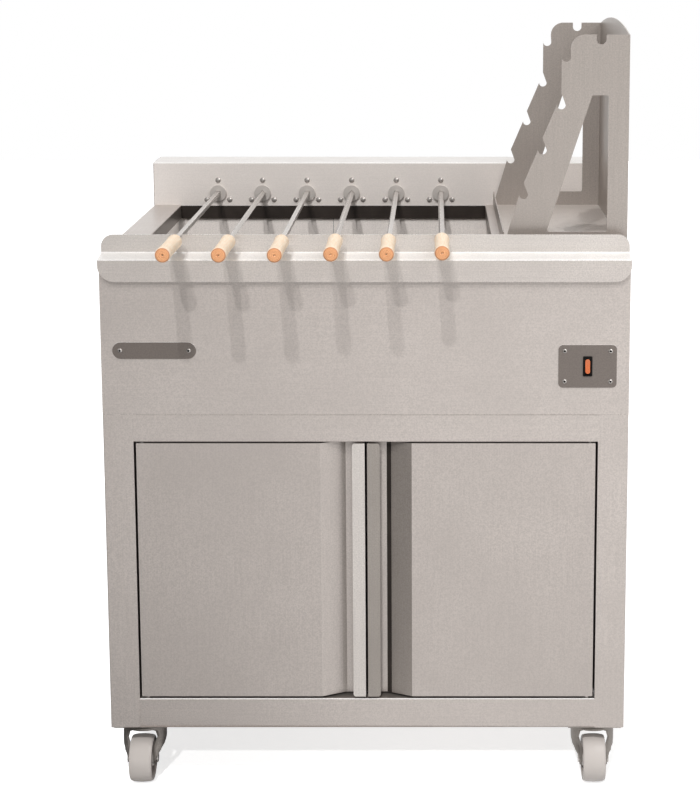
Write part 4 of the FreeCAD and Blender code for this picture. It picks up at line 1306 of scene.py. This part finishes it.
@dataclass
class UpperBody:
    """Front panel, sides, rear panel and the folded rest rail."""

    sheet: float = 0.0015
    edge: float = SHEET_EDGE
    side_bend: float = 0.0035
    turned_edge: float = 0.027
    edge_start: float = 0.0075
    opening_gap: float = 0.002
    rest_sheet: float = 0.002
    rest_drop: float = 0.0075
    shelf_drop: float = 0.001
    lip_height: float = 0.037
    rest_bend: float = 0.0022
    lip_corner: float = 0.027
    flange_corner: float = 0.020
    notch_half: float = 0.006007
    notch_reach: float = 0.03

    def build(self) -> None:
        """Build and dress the upper body."""
        sheet_from("front_panel", BODY_ACROSS)
        sheet_from("rear_panel", BODY_ACROSS)
        self.side("left_body_side", 1)
        self.side("right_body_side", -1)
        self.rest()

    def side(self, node: str, inward: int) -> None:
        """Side wall, flat top and turned-down hearth edge, folded from one sheet.

        Args:
            node: Frame node that it stands for.
            inward: 1 where the hearth is on its right, -1 where it is on its left.
        """
        low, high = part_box(node)
        wall, hearth = (low.x, high.x) if inward > 0 else (high.x, low.x)
        rest_back = high_of("front_rest").y
        face = low_of("drive_face").y
        rim = high.z
        path = [(wall, low.z, 0.0), (wall, rim, self.side_bend), (hearth, rim, self.side_bend * 0.7),
                (hearth, rim - self.turned_edge, 0.0)]
        blank = Blank.folded(node + "_sheet", path, Axis.Y, (low.y, face), self.sheet,
                             Vector((inward, 0, 0)))
        blank.thicken()
        inner = wall + inward * self.sheet
        notch = self.cutter((wall, hearth), (low.y - CUT_PAST, rest_back),
                            (rim - self.rest_drop - self.rest_sheet, rim + CUT_PAST), CUT_PAST)
        start = self.cutter((hearth - inward * self.sheet * 2, hearth),
                            (low.y - CUT_PAST, rest_back + self.edge_start),
                            (low.z, rim - 2 * self.sheet), CUT_PAST)
        blank.cut(notch, start)
        rear = Blank.block("rear_of_" + node, Vector((min(wall, inner), face, low.z)),
                           Vector((max(wall, inner), high.y, rim)))
        blank.join(rear)
        if inward > 0:
            pan_low, pan_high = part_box("ash_drawer_pan")
            gap = self.opening_gap
            blank.cut(self.cutter((wall, wall), (pan_low.y - gap, pan_high.y + gap),
                                  (pan_low.z - gap, pan_high.z + gap), CUT_PAST))
        piece = dress(blank.soften(self.edge).done(), BODY_DEEP, node)
        # Painted shade on the turned-down hearth edge.
        dress_more(piece, PAINTED_SHADE_FAINT_SOOT, lambda middle, normal: abs(middle.x - hearth) < self.sheet * 1.2
                   and middle.z < rim - self.side_bend * 0.5)

    def cutter(self, xs: tuple[float, float], ys: tuple[float, float], zs: tuple[float, float],
               past: float) -> Blank:
        """Block to cut with, between two X, two Y and two Z values, drawn out past both X ends."""
        return Blank.block("cutter", Vector((min(xs) - past, ys[0], zs[0])),
                           Vector((max(xs) + past, ys[1], zs[1])))

    def rest(self) -> None:
        """Rest rail: lip, rising shelf and upright flange, notched for the skewers."""
        low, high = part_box("front_rest")
        shelf_front = low.z + self.lip_height
        rim = high_of("left_body_side").z
        flange = high.y - self.rest_sheet
        path = [(low.y, low.z, 0.0), (low.y, shelf_front, self.rest_bend),
                (flange, rim - self.shelf_drop, self.rest_bend), (flange, high.z, 0.0)]
        ends = (low.x, high.x)
        blank = Blank.folded("front_rest_rail", path, Axis.X, ends, self.rest_sheet, Vector((0, 1, 0)))
        blank.round_corners(lambda v: near(v.z, low.z) and any(near(v.x, end) for end in ends),
                            self.lip_corner)
        blank.round_corners(lambda v: near(v.z, high.z) and any(near(v.x, end) for end in ends),
                            self.flange_corner)
        blank.thicken()
        for number in range(1, 7):
            middle = middle_of(f"spindle_{number}")
            start = Vector((middle.x, flange - CUT_PAST, middle.z))
            slot = Blank.block("slot", start - Vector((self.notch_half, 0, 0)),
                               start + Vector((self.notch_half, self.notch_reach, self.notch_reach)))
            blank.cut(slot, Blank.rod("seat", start, Axis.Y, self.notch_half, self.notch_reach, 32))
        # The rest's lip is paler than the plain sheet and its flange paler still: painted light.
        piece = dress(blank.soften(self.edge).done(), LIT_REST_STEEL, "front_rest")
        dress_more(piece, LIT_REST_FLANGE, lambda middle, normal: middle.z > rim + self.rest_bend)
        # Painted light on the rest's shelf and painted highlight on its bends.
        dress_more(piece, PAINTED_HIGHLIGHT_STEEL, lambda middle, normal: normal.z > SLOPING_UP
                   and middle.z < rim + self.rest_bend)


@dataclass
class Hearth:
    """Firebox, liners, grate and ash drawer."""

    def build(self) -> None:
        """Build and dress the hearth."""
        coat("firebox_shell", HEARTH_STEEL)
        coat("charcoal_grate", GRATE_IRON)
        coat("drawer_runners", BODY_DEEP)
        # The liners are paler and less metallic than the plain sheet, painted light, with faint soot; their
        # faces towards +X are whiter and more metallic, painted light too.
        liners = sheet_from("firebox_liners", LIT_SOOTY_LINER)
        dress_more(liners, LIT_LINER, lambda middle, normal: normal.x > SQUARE_ON)
        sheet_from("ash_drawer_pan", HEARTH_STEEL)
        sheet_from("ash_drawer_front", BODY_DEEP)


@dataclass
class DriveHousing:
    """Sheet housing along the back, with the drive inside it."""

    sheet: float = 0.0015
    edge: float = SHEET_EDGE
    bend: float = 0.003
    return_depth: float = 0.006
    shaft_hole: float = 0.0095
    screw_hole: float = 0.00305
    screw_circle: float = 0.0255
    screw_angles: tuple[float, ...] = (90.0, 210.0, 330.0)
    screw_head: float = 0.0033
    screw_radius: float = 0.0055
    top_facing: float = 0.7

    def build(self) -> None:
        """Build and dress the housing and what it holds."""
        self.face()
        self.cover()
        self.screws()
        coat("bearing_housings", TURNED_PARTS)
        coat("gearmotor", MOTOR_PAINT)
        coat("motor_pinion", TURNED_PARTS)
        coat("mains_gland", BLACK_PLASTIC)

    def sockets(self) -> list[Vector]:
        """Points on the face's front where the spindle axes pass.

        Returns:
            The points from the left.
        """
        face = low_of("drive_face").y
        middles = [middle_of(f"spindle_{number}") for number in range(1, 7)]
        return [Vector((middle.x, face, middle.z)) for middle in middles]

    def screw_points(self) -> list[Vector]:
        """Points on the face's front where the screws sit.

        Returns:
            The points, socket by socket.
        """
        turns = [math.radians(angle) for angle in self.screw_angles]
        circle = [Vector((math.cos(turn), 0, math.sin(turn))) * self.screw_circle for turn in turns]
        return [socket + offset for socket in self.sockets() for offset in circle]

    def face(self) -> None:
        """Bored face with a bend along its top and the sooty strip that hangs into the hearth."""
        low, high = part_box("drive_face")
        top = high_of("drive_cover").z
        rim = high_of("left_body_side").z
        path = [(low.y, rim - self.sheet, 0.0), (low.y, top, self.bend),
                (low.y + self.return_depth, top, 0.0)]
        blank = Blank.folded("drive_face_sheet", path, Axis.X, (low.x, high.x), self.sheet,
                             Vector((0, 1, 0)))
        blank.thicken()
        left, right = high_of("left_body_side").x, low_of("right_body_side").x
        strip = Blank.block("strip", Vector((left, low.y, low.z)),
                            Vector((right, low.y + self.sheet, rim - self.sheet)))
        back = Vector((0, CUT_PAST, 0))
        holes = [Blank.rod("hole", point - back, Axis.Y, self.shaft_hole, 2 * CUT_PAST, 32)
                 for point in self.sockets()]
        holes += [Blank.rod("hole", point - back, Axis.Y, self.screw_hole, 2 * CUT_PAST, 12)
                  for point in self.screw_points()]
        blank.cut(holes[0].join(*holes[1:]))
        blank.soften(self.edge)
        strip.soften(self.edge)
        # The drive face is paler and less metallic than the plain sheet: painted light.
        piece = dress(blank.join(strip).done(), LIT_FACE_STEEL, "drive_face")
        dress_more(piece, HEAVY_SOOT_AND_SHADE, lambda middle, normal: middle.z < rim - self.sheet * 1.2)
        # Painted highlight along the face's top bend.
        dress_more(piece, PAINTED_HIGHLIGHT_STEEL, lambda middle, normal: normal.z > SLOPING_UP
                   and middle.z > top - self.bend)

    def cover(self) -> None:
        """Top, rear and ends of the housing, behind the face's own bend."""
        low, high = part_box("drive_cover")
        front = low.y + self.return_depth
        path = [(front, high.z, 0.0), (high.y, high.z, self.bend), (high.y, low.z, 0.0)]
        span = (low.x + self.sheet, high.x - self.sheet)
        blank = Blank.folded("drive_cover_sheet", path, Axis.X, span, self.sheet, Vector((0, 0, -1)))
        blank.thicken()
        for side, start in (("left", low.x), ("right", high.x - self.sheet)):
            end = Blank.block(side + "_end", Vector((start, low.y, low.z)),
                              Vector((start + self.sheet, high.y, high.z)))
            end.round_edges(lambda a, b: near(a.z, high.z) and near(b.z, high.z) and abs(a.x - b.x) > 0.001,
                            self.bend, BEND_FACETS)
            blank.join(end)
        piece = dress(blank.soften(self.edge).done(), BODY_ACROSS, "drive_cover")
        # The cover's top faces are paler and less metallic: painted light from above.
        dress_more(piece, LIT_TOP_STEEL, lambda middle, normal: normal.z > self.top_facing)

    def screws(self) -> None:
        """Domed screws round the sockets, turned once and copied."""
        head, radius = self.screw_head, self.screw_radius
        profile = [(0.0, -head), (radius * 0.3, -head * 0.98), (radius * 0.55, -head * 0.86),
                   (radius * 0.76, -head * 0.64), (radius * 0.92, -head * 0.34), (radius, -head * 0.08),
                   (radius, 0.0), (0.003, 0.0), (0.003, 0.0105), (0.0, 0.0105)]
        first = Blank.turned("face_screws", profile, Vector(), Axis.Y, 24)
        copies = [first.copied("screw", point) for point in self.screw_points()]
        bpy.data.objects.remove(first.piece)
        copies[0].join(*copies[1:])
        copies[0].piece.name = "face_screws"
        dress(copies[0].done(TURNED_SMOOTH), BRIGHT_STEEL, "bearing_screws")


@dataclass
class Skewers:
    """Spindles, square rods and turned handles."""

    count: int = 6
    disc: float = 0.004
    disc_edge: float = 0.0006
    rod_edge: float = 0.0008
    handle_steps: int = 64
    centre_hole: float = 0.0017
    waist: float = 0.0009

    def build(self) -> None:
        """Build and dress the skewers and their spindles."""
        first = self.handle()
        for number in range(1, self.count + 1):
            self.spindle(number)
            rod_node = f"skewer_rod_{number}"
            rod = Blank.from_node(f"rod_{number}", rod_node).soften(self.rod_edge, 3)
            dress(rod.done(), ROD_STEEL, rod_node)
            node = f"skewer_handle_{number}"
            middle = self.front_of(node)
            copy = first.copied(f"handle_{number}", middle).centred(middle)
            dress(copy.done(TURNED_SMOOTH), HANDLE_WOOD, node)
        bpy.data.objects.remove(first.piece)

    def spindle(self, number: int) -> None:
        """Spindle with a turned front disc.

        Args:
            number: Number of the spindle from the left.
        """
        node = f"spindle_{number}"
        low = low_of(node)
        middle = middle_of(node)
        middle.y = low.y
        blank = Blank.from_node(f"driven_{node}", node)
        blank.round_edges(lambda a, b: near(a.y, low.y) and near(b.y, low.y), self.disc_edge, 3)
        piece = dress(blank.centred(middle).done(), TURNED_PARTS, node)
        # The disc is paler and less metallic than the spindle: painted reflection.
        dress_more(piece, LIT_TURNED_DISC, lambda place, normal: place.y < low.y + self.disc)

    def front_of(self, node: str) -> Vector:
        """Middle of a handle's front end."""
        middle = middle_of(node)
        return Vector((middle.x, low_of(node).y, middle.z))

    def handle(self) -> Blank:
        """Turned handle with a soft waist, a rounded front rim and its centre hole, at the origin.

        Returns:
            The handle.
        """
        low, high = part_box("skewer_handle_1")
        radius = (high.x - low.x) / 2
        length = high.y - low.y
        hole = self.centre_hole
        profile = [(0.0, 0.005), (hole * 0.8, 0.004), (hole, 0.0008), (hole * 1.3, 0.0),
                   (radius * 0.4, 0.0), (radius - 0.0034, 0.0), (radius - 0.0014, 0.0007),
                   (radius - 0.0003, 0.0025), (radius, 0.006)]
        profile += [(radius - self.waist * math.sin(math.pi * share), length * share)
                    for share in (0.15, 0.25, 0.35, 0.5, 0.65, 0.75, 0.85)]
        profile += [(radius, length - 0.012), (radius - 0.0008, length - 0.0065),
                    (radius - 0.003, length - 0.0022), (radius - 0.0068, length), (0.0, length)]
        return Blank.turned("handle", profile, Vector(), Axis.Y, self.handle_steps)


@dataclass
class SkewerRack:
    """Notched plates and folded tray on the right."""

    fold: float = 0.0024
    floor_depth: float = 0.006

    def build(self) -> None:
        """Build and dress the rack."""
        # Painted shade: the rack's plates and tray walls are darker than the plain sheet, its rear plate
        # darker still.
        sheet_from("rack_front_plate", SHADED_RACK_STEEL)
        sheet_from("rack_rear_plate", SHADED_STEEL)
        low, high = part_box("rack_tray")
        blank = Blank.from_node("rack_tray_sheet", "rack_tray")
        blank.round_edges(lambda a, b: near(a.z, low.z) and near(b.z, low.z) and near(a.x, b.x)
                          and (near(a.x, low.x) or near(a.x, high.x)), self.fold, 4)
        piece = dress(blank.soften(SHEET_EDGE).done(), SHADED_RACK_STEEL, "rack_tray")
        # The tray's floor is paler and less metallic than its walls: painted light.
        dress_more(piece, LIT_TRAY_STEEL, lambda middle, normal: normal.z > SQUARE_ON
                   and middle.z < low.z + self.floor_depth)


@dataclass
class Trim:
    """Switch plate, rocker and the bare badge plate, with their pop rivets."""

    plate: float = 0.0015
    plate_edge: float = 0.0009
    rivet_radius: float = 0.004
    rivet_head: float = 0.0022
    rivet_hole: float = 0.0016
    switch_spacing: tuple[float, float] = (0.0755, 0.051)
    badge_spacing: float = 0.113
    lens: tuple[float, float] = (0.0078, 0.0238)
    lens_rise: float = 0.00025
    rocker_edge: float = 0.0003

    def build(self) -> None:
        """Build and dress the trim."""
        switch, badge = self.middle("switch_plate"), self.middle("badge_plate")
        wide, tall = self.switch_spacing
        corners = [switch + Vector((x * wide, 0, z * tall)) for x in (-0.5, 0.5) for z in (-0.5, 0.5)]
        ends = [badge + Vector((x * self.badge_spacing, 0, 0)) for x in (-0.5, 0.5)]
        first = self.rivet()
        for node, points in (("switch_plate", corners), ("badge_plate", ends)):
            low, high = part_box(node)
            blank = Blank.from_node(node + "_sheet", node)
            blank.cut(Blank.block("waste", low - Vector((CUT_PAST, CUT_PAST, CUT_PAST)),
                                  Vector((high.x + CUT_PAST, high.y - self.plate, high.z + CUT_PAST))))
            plate = dress(blank.soften(self.plate_edge, 3).done(), DARK_PLATE, node)
            # Painted highlight on the plate's upper edge.
            dress_more(plate, PAINTED_HIGHLIGHT_STEEL, lambda place, normal: normal.z > PARTLY_UP)
            for index, point in enumerate(points, 1):
                copy = first.copied(f"{node}_rivet_{index}", point)
                piece = dress(copy.done(TURNED_SMOOTH), BRIGHT_STEEL, node)
                # Black plastic in the mandrel hole is painted shade.
                dress_more(piece, BLACK_PLASTIC,
                           lambda place, normal: (place - point).xz.length < self.rivet_hole)
        bpy.data.objects.remove(first.piece)
        self.rocker()

    def middle(self, node: str) -> Vector:
        """Middle of a trim plate's front face."""
        middle = middle_of(node)
        return Vector((middle.x, high_of(node).y - self.plate, middle.z))

    def rivet(self) -> Blank:
        """Pop rivet head with the open hole that its mandrel leaves, at the origin.

        Returns:
            The rivet head.
        """
        radius, head, hole = self.rivet_radius, self.rivet_head, self.rivet_hole
        profile = [(0.0, -head * 0.15), (hole, -head * 0.15), (hole, -head * 0.8), (hole * 1.25, -head),
                   (radius * 0.6, -head * 0.93), (radius * 0.82, -head * 0.62),
                   (radius * 0.96, -head * 0.25), (radius, 0.0), (0.0, 0.0)]
        return Blank.turned("rivet", profile, Vector(), Axis.Y, 28)

    def rocker(self) -> None:
        """Black bezel and rocker with an orange lens let into the rocker."""
        bezel = Blank.from_node("rocker_frame", "rocker_bezel").soften(SHEET_EDGE)
        dress(bezel.done(), BLACK_PLASTIC, "rocker_bezel")
        body = Blank.from_node("rocker_body", "rocker").soften(self.rocker_edge)
        dress(body.done(), BLACK_PLASTIC, "rocker")
        middle = middle_of("rocker")
        half = Vector((self.lens[0] / 2, 0.02, self.lens[1] / 2))
        stencil = Blank.block("stencil", middle - half, middle + half)
        stencil.round_edges(lambda a, b: abs(a.y - b.y) > 0.01, self.lens[0] * 0.49, 8)
        lens = Blank.from_node("rocker_lens", "rocker")
        lens.piece.location.y = -self.lens_rise
        lens.settle()
        lens.cut(stencil, keep=True)
        dress(lens.done(), ORANGE_LENS, "rocker")


@dataclass
class Casters:
    """Swivel casters with pressed forks and moulded wheels."""

    corners: tuple[str, ...] = ("front_left", "front_right", "rear_left", "rear_right")
    trail: float = 0.030
    crown: float = 0.037
    crown_top: float = 0.0965
    shoulder: float = 0.005
    sheet: float = 0.003
    leg_half: float = 0.0233
    foot: float = 0.012
    axle: float = 0.005
    bolt_head: float = 0.008
    bolt_height: float = 0.003
    edge: float = 0.0005
    edge_angle: float = 40.0
    play: float = 0.0002
    outline_half: float = 0.06

    def build(self) -> None:
        """Build and dress the casters."""
        coat("caster_plates", ZINC_STEEL)
        fork, bolt, wheel = self.fork(), self.bolt(), self.wheel()
        for corner in self.corners:
            axle = self.axle_of(corner)
            king = axle + Vector((0, self.trail, -axle.z))
            node = f"caster_fork_{corner}"
            dress(fork.copied(f"fork_{corner}", king).done(CASTER_SMOOTH), ZINC_STEEL, node)
            dress(bolt.copied(f"axle_bolt_{corner}", axle).done(CASTER_SMOOTH), BRIGHT_STEEL, node)
            node = f"caster_wheel_{corner}"
            dress(wheel.copied(f"wheel_{corner}", axle).done(CASTER_SMOOTH), POLYAMIDE, node)
        for spare in (fork, bolt, wheel):
            bpy.data.objects.remove(spare.piece)

    def axle_of(self, corner: str) -> Vector:
        """Middle of a wheel."""
        return middle_of(f"caster_wheel_{corner}")

    def fork(self) -> Blank:
        """Pressed hood under a round crown that narrows to two legs, with the king pin at the origin.

        Returns:
            The fork.
        """
        levels = [(0.088, self.crown, 0.0), (0.067, self.crown - 0.0004, -0.003), (0.060, 0.0350, -0.006),
                  (0.054, 0.0308, -0.009), (0.048, 0.0266, -0.0115), (0.043, 0.0242, -0.0132),
                  (0.038, self.leg_half, -0.0138), (0.026, self.leg_half, -0.0138)]
        bottom = levels[-1][0]
        hood = Blank.rod("fork", Vector((0, 0, bottom)), Axis.Z, self.crown, self.crown_top - bottom, 64)
        for level, _, _ in levels[:-1]:
            hood.split(Vector((0, 0, level)), Vector((0, 0, 1)))
        for level, half, shift in levels[1:]:
            for side in (-1, 1):
                with hood.editing() as mesh:
                    hood.pick_corners(mesh, lambda v: near(v.z, level) and v.x * side > half)
                    bpy.ops.transform.resize(value=(0, 1, 1), center_override=(half * side, 0, level))
            with hood.editing() as mesh:
                hood.pick_corners(mesh, lambda v: near(v.z, level))
                bpy.ops.transform.translate(value=(0, shift, 0))
        hood.round_edges(lambda a, b: near(a.z, self.crown_top) and near(b.z, self.crown_top),
                         self.shoulder, 5)
        with hood.editing("FACE") as mesh:
            for face in mesh.faces:
                face.select_set(face.normal.z < -SQUARE_ON and near(face.calc_center_median().z, bottom))
            bmesh.update_edit_mesh(hood.piece.data)
            bpy.ops.mesh.delete(type="FACE")
        hood.modify("SOLIDIFY", thickness=self.sheet, offset=-1.0, use_even_offset=True)
        hood.cut(self.leg_outline(), keep=True)
        hood.cut(Blank.rod("king_hole", Vector((0, 0, 0.05)), Axis.Z, self.axle + self.play, 0.06, 24))
        return hood.soften(self.edge, 2, self.edge_angle)

    def leg_outline(self) -> Blank:
        """Side outline that the hood keeps: skirt at the crown, then the legs down to the axle.

        Returns:
            The outline as a solid.
        """
        axle_z = self.axle_of(self.corners[0]).z
        foot = [(-self.trail + self.foot * math.cos(math.radians(angle)),
                 axle_z + self.foot * math.sin(math.radians(angle))) for angle in range(180, 361, 20)]
        path = [(-0.05, 0.12), (-0.05, 0.0905), (-0.031, 0.090), (-0.0265, 0.086), (-0.0255, 0.076),
                (-0.0300, 0.066), (-0.0375, 0.056)] + foot
        path += [(-0.008, 0.050), (0.004, 0.062), (0.016, 0.074), (0.026, 0.080), (0.05, 0.082),
                 (0.05, 0.12)]
        outline = Blank.drawn("outline", [Vector((-self.outline_half, y, z)) for y, z in path])
        with outline.editing():
            bpy.ops.mesh.select_all(action="SELECT")
            bpy.ops.mesh.edge_face_add()
            bpy.ops.mesh.extrude_region_move(TRANSFORM_OT_translate={"value": (2 * self.outline_half, 0, 0)})
        outline.mend()
        return outline

    def bolt(self) -> Blank:
        """Axle with a six-sided head and nut, at the origin.

        Returns:
            The bolt with its head and nut.
        """
        reach = self.leg_half
        shaft = Blank.rod("axle_bolt", Vector((-reach, 0, 0)), Axis.X, self.axle - self.play / 2,
                          2 * reach, 32)
        for start, height in ((-reach - self.bolt_height, self.bolt_height), (reach, self.bolt_height)):
            shaft.join(Blank.rod("head", Vector((start, 0, 0)), Axis.X, self.bolt_head, height, 6))
        return shaft.soften(self.edge, 2, self.edge_angle)

    def wheel(self) -> Blank:
        """Solid wheel with a crowned tread, dished sides and a hub, at the origin.

        Returns:
            The wheel.
        """
        low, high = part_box(f"caster_wheel_{self.corners[0]}")
        radius = (high.z - low.z) / 2
        half = (high.x - low.x) / 2
        side = [(0.00505, half), (0.0125, half), (0.0138, half - 0.0012), (0.0146, half - 0.0115),
                (0.0160, half - 0.0130), (0.0285, half - 0.0130), (0.0298, half - 0.0115),
                (0.0304, half - 0.0008), (0.0315, half), (radius - 0.0038, half),
                (radius - 0.0022, half - 0.0012), (radius - 0.0012, half - 0.0042),
                (radius - 0.0004, half - 0.0100), (radius, half - 0.0170)]
        profile = side + [(r, -d) for r, d in side[::-1]] + side[:1]
        return Blank.turned("wheel", profile, Vector(), Axis.X, 96)


@dataclass
class Studio:
    """Floor, light and camera."""

    camera_tilt: float = 81.611
    camera_height: float = 1.4067
    camera_right: float = 0.1141
    camera_ahead: float = 2.8894
    lens: float = 80.79
    sensor: float = 36.0
    shift: tuple[float, float] = (-0.10575, -0.22825)
    floor_half: float = 9.0
    floor_lift: float = 0.7
    floor_white: float = 0.8
    floor_ramp: tuple[float, float] = (-0.6, -4.0)
    suns: tuple[tuple[float, float, float, float], ...] = ((37.0, -9.0, 1.25, 1.2),
                                                           (54.0, -6.0, 1.4, 1.2))
    softbox: tuple[Vector, float, float] = (Vector((1.3, -1.1, 2.5)), 1.5, 18.0)
    softbox_aim: Vector = Vector((0.0, 0.25, 0.85))
    fill: float = 0.2
    left_gloss: float = 0.08
    sweep_turns: tuple[float, float] = (-50.0, 8.0)
    behind_ramp: tuple[float, float] = (-0.1, 0.3)
    depth_ramp: tuple[float, float] = (-0.4, 0.3)
    floor_gloss: tuple[float, float] = (0.84, 1.3)
    room_gloss: float = 0.62
    back_gloss: float = 1.05

    def build(self) -> None:
        """Set the floor, the world, the lamps and the camera."""
        self.floor()
        self.world()
        self.lamps()
        self.camera()

    def floor(self) -> None:
        """Pale floor that stays white to the camera and keeps the object's shadow."""
        bpy.ops.object.select_all(action="DESELECT")
        bpy.ops.mesh.primitive_plane_add(size=2 * self.floor_half)
        floor = bpy.context.object
        floor.name = "studio_floor"
        material = bpy.data.materials.new("studio_floor")
        material.use_nodes = True
        nodes = Nodes(material.node_tree)
        material.node_tree.nodes.remove(material.node_tree.nodes["Principled BSDF"])
        light_path = nodes.add("LightPath")
        glossy = light_path.outputs["Is Glossy Ray"]
        share = nodes.math("MULTIPLY", nodes.math("SUBTRACT", 1.0, glossy), self.floor_white)
        diffuse = nodes.add("BsdfDiffuse", color=nodes.mix(share, (0.0, 0.0, 0.0), (1.0, 1.0, 1.0)))
        seen = nodes.math("MAXIMUM", light_path.outputs["Is Camera Ray"],
                          light_path.outputs["Is Transmission Ray"])
        here = nodes.add("TexCoord").outputs["Object"]
        ahead = nodes.add("SeparateXYZ", vector=here).outputs[1]
        sweep = nodes.math("MULTIPLY", self.sweep(nodes, here),
                           nodes.span(ahead, *self.floor_ramp, *self.floor_gloss))
        lift = nodes.add("Emission", strength=nodes.math(
            "ADD", nodes.math("MULTIPLY", seen, self.floor_lift), nodes.math("MULTIPLY", glossy, sweep)))
        both = nodes.add("AddShader")
        nodes.feed(both.inputs[0], diffuse.outputs[0])
        nodes.feed(both.inputs[1], lift.outputs[0])
        nodes.feed(material.node_tree.nodes["Material Output"].inputs["Surface"], both.outputs[0])
        floor.data.materials.append(material)

    def sweep(self, nodes: Nodes, place: bpy.types.NodeSocket) -> bpy.types.NodeSocket:
        """How bright gloss finds the room in a direction: dark at the left, white ahead and at the right.

        Args:
            nodes: Nodes of the material or the world.
            place: Output that gives the direction.

        Returns:
            The brightness.
        """
        parts = nodes.add("SeparateXYZ", vector=place)
        turn = nodes.math("ARCTAN2", parts.outputs[0], nodes.math("MULTIPLY", parts.outputs[1], -1.0))
        first, last = self.sweep_turns
        ahead = nodes.span(turn, math.radians(first), math.radians(last), self.left_gloss, 1.0)
        behind = nodes.span(parts.outputs[1], *self.behind_ramp)
        return nodes.math("MAXIMUM", ahead, behind)

    def world(self) -> None:
        """White to the camera and to gloss behind the object, dimmer in front and to the left."""
        world = bpy.data.worlds.new("studio")
        bpy.context.scene.world = world
        world.use_nodes = True
        nodes = Nodes(world.node_tree)
        light_path = nodes.add("LightPath")
        place = nodes.add("TexCoord").outputs["Generated"]
        depth = nodes.add("SeparateXYZ", vector=place).outputs[1]
        level = nodes.span(depth, *self.depth_ramp, self.room_gloss, self.back_gloss)
        room = nodes.math("MULTIPLY", self.sweep(nodes, place), level)
        gloss = nodes.math("MAXIMUM", light_path.outputs["Is Glossy Ray"],
                           light_path.outputs["Is Transmission Ray"])
        soft = nodes.math("ADD", nodes.math("MULTIPLY", gloss, room),
                          nodes.math("MULTIPLY", nodes.math("SUBTRACT", 1.0, gloss), self.fill))
        strength = nodes.math("MAXIMUM", soft, light_path.outputs["Is Camera Ray"])
        background = world.node_tree.nodes["Background"]
        nodes.feed(background.inputs["Color"], (1.0, 1.0, 1.0, 1.0))
        nodes.feed(background.inputs["Strength"], strength)

    def lamps(self) -> None:
        """Two distant lamps high in front, and a softbox at the front right."""
        for index, (height, turn, power, width) in enumerate(self.suns, 1):
            light = bpy.data.lights.new(f"lamp_{index}", "SUN")
            light.energy = power
            light.angle = math.radians(width)
            lamp = bpy.data.objects.new(light.name, light)
            lamp.rotation_euler = (math.radians(90 - height), 0.0, math.radians(turn))
            lamp.visible_glossy = False
            bpy.context.scene.collection.objects.link(lamp)
        place, size, power = self.softbox
        light = bpy.data.lights.new("softbox", "AREA")
        light.size = size
        light.energy = power
        lamp = bpy.data.objects.new("softbox", light)
        lamp.location = place
        lamp.rotation_euler = (self.softbox_aim - place).to_track_quat("-Z", "Y").to_euler()
        bpy.context.scene.collection.objects.link(lamp)

    def camera(self) -> None:
        """Camera at the photograph's place, which looks down a little and isn't turned."""
        low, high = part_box("front_panel")
        data = bpy.data.cameras.new("camera")
        data.lens = self.lens
        data.sensor_width = self.sensor
        data.sensor_fit = "AUTO"
        data.shift_x, data.shift_y = self.shift
        camera = bpy.data.objects.new("camera", data)
        camera.location = ((low.x + high.x) / 2 + self.camera_right, low.y - self.camera_ahead,
                           self.camera_height)
        camera.rotation_euler = (math.radians(self.camera_tilt), 0.0, 0.0)
        bpy.context.scene.collection.objects.link(camera)
        bpy.context.scene.camera = camera


def main() -> None:
    """Build every sub-assembly in order."""
    logging.basicConfig(level=logging.INFO, format="%(name)s %(message)s")
    bpy.context.scene.view_settings.view_transform = "Standard"
    for part in (Studio(), Cabinet(), Doors(), UpperBody(), Hearth(), DriveHousing(), Skewers(),
                 SkewerRack(), Trim(), Casters()):
        log.info("building %s", type(part).__name__)
        part.build()


if __name__ == "__main__":
    main()
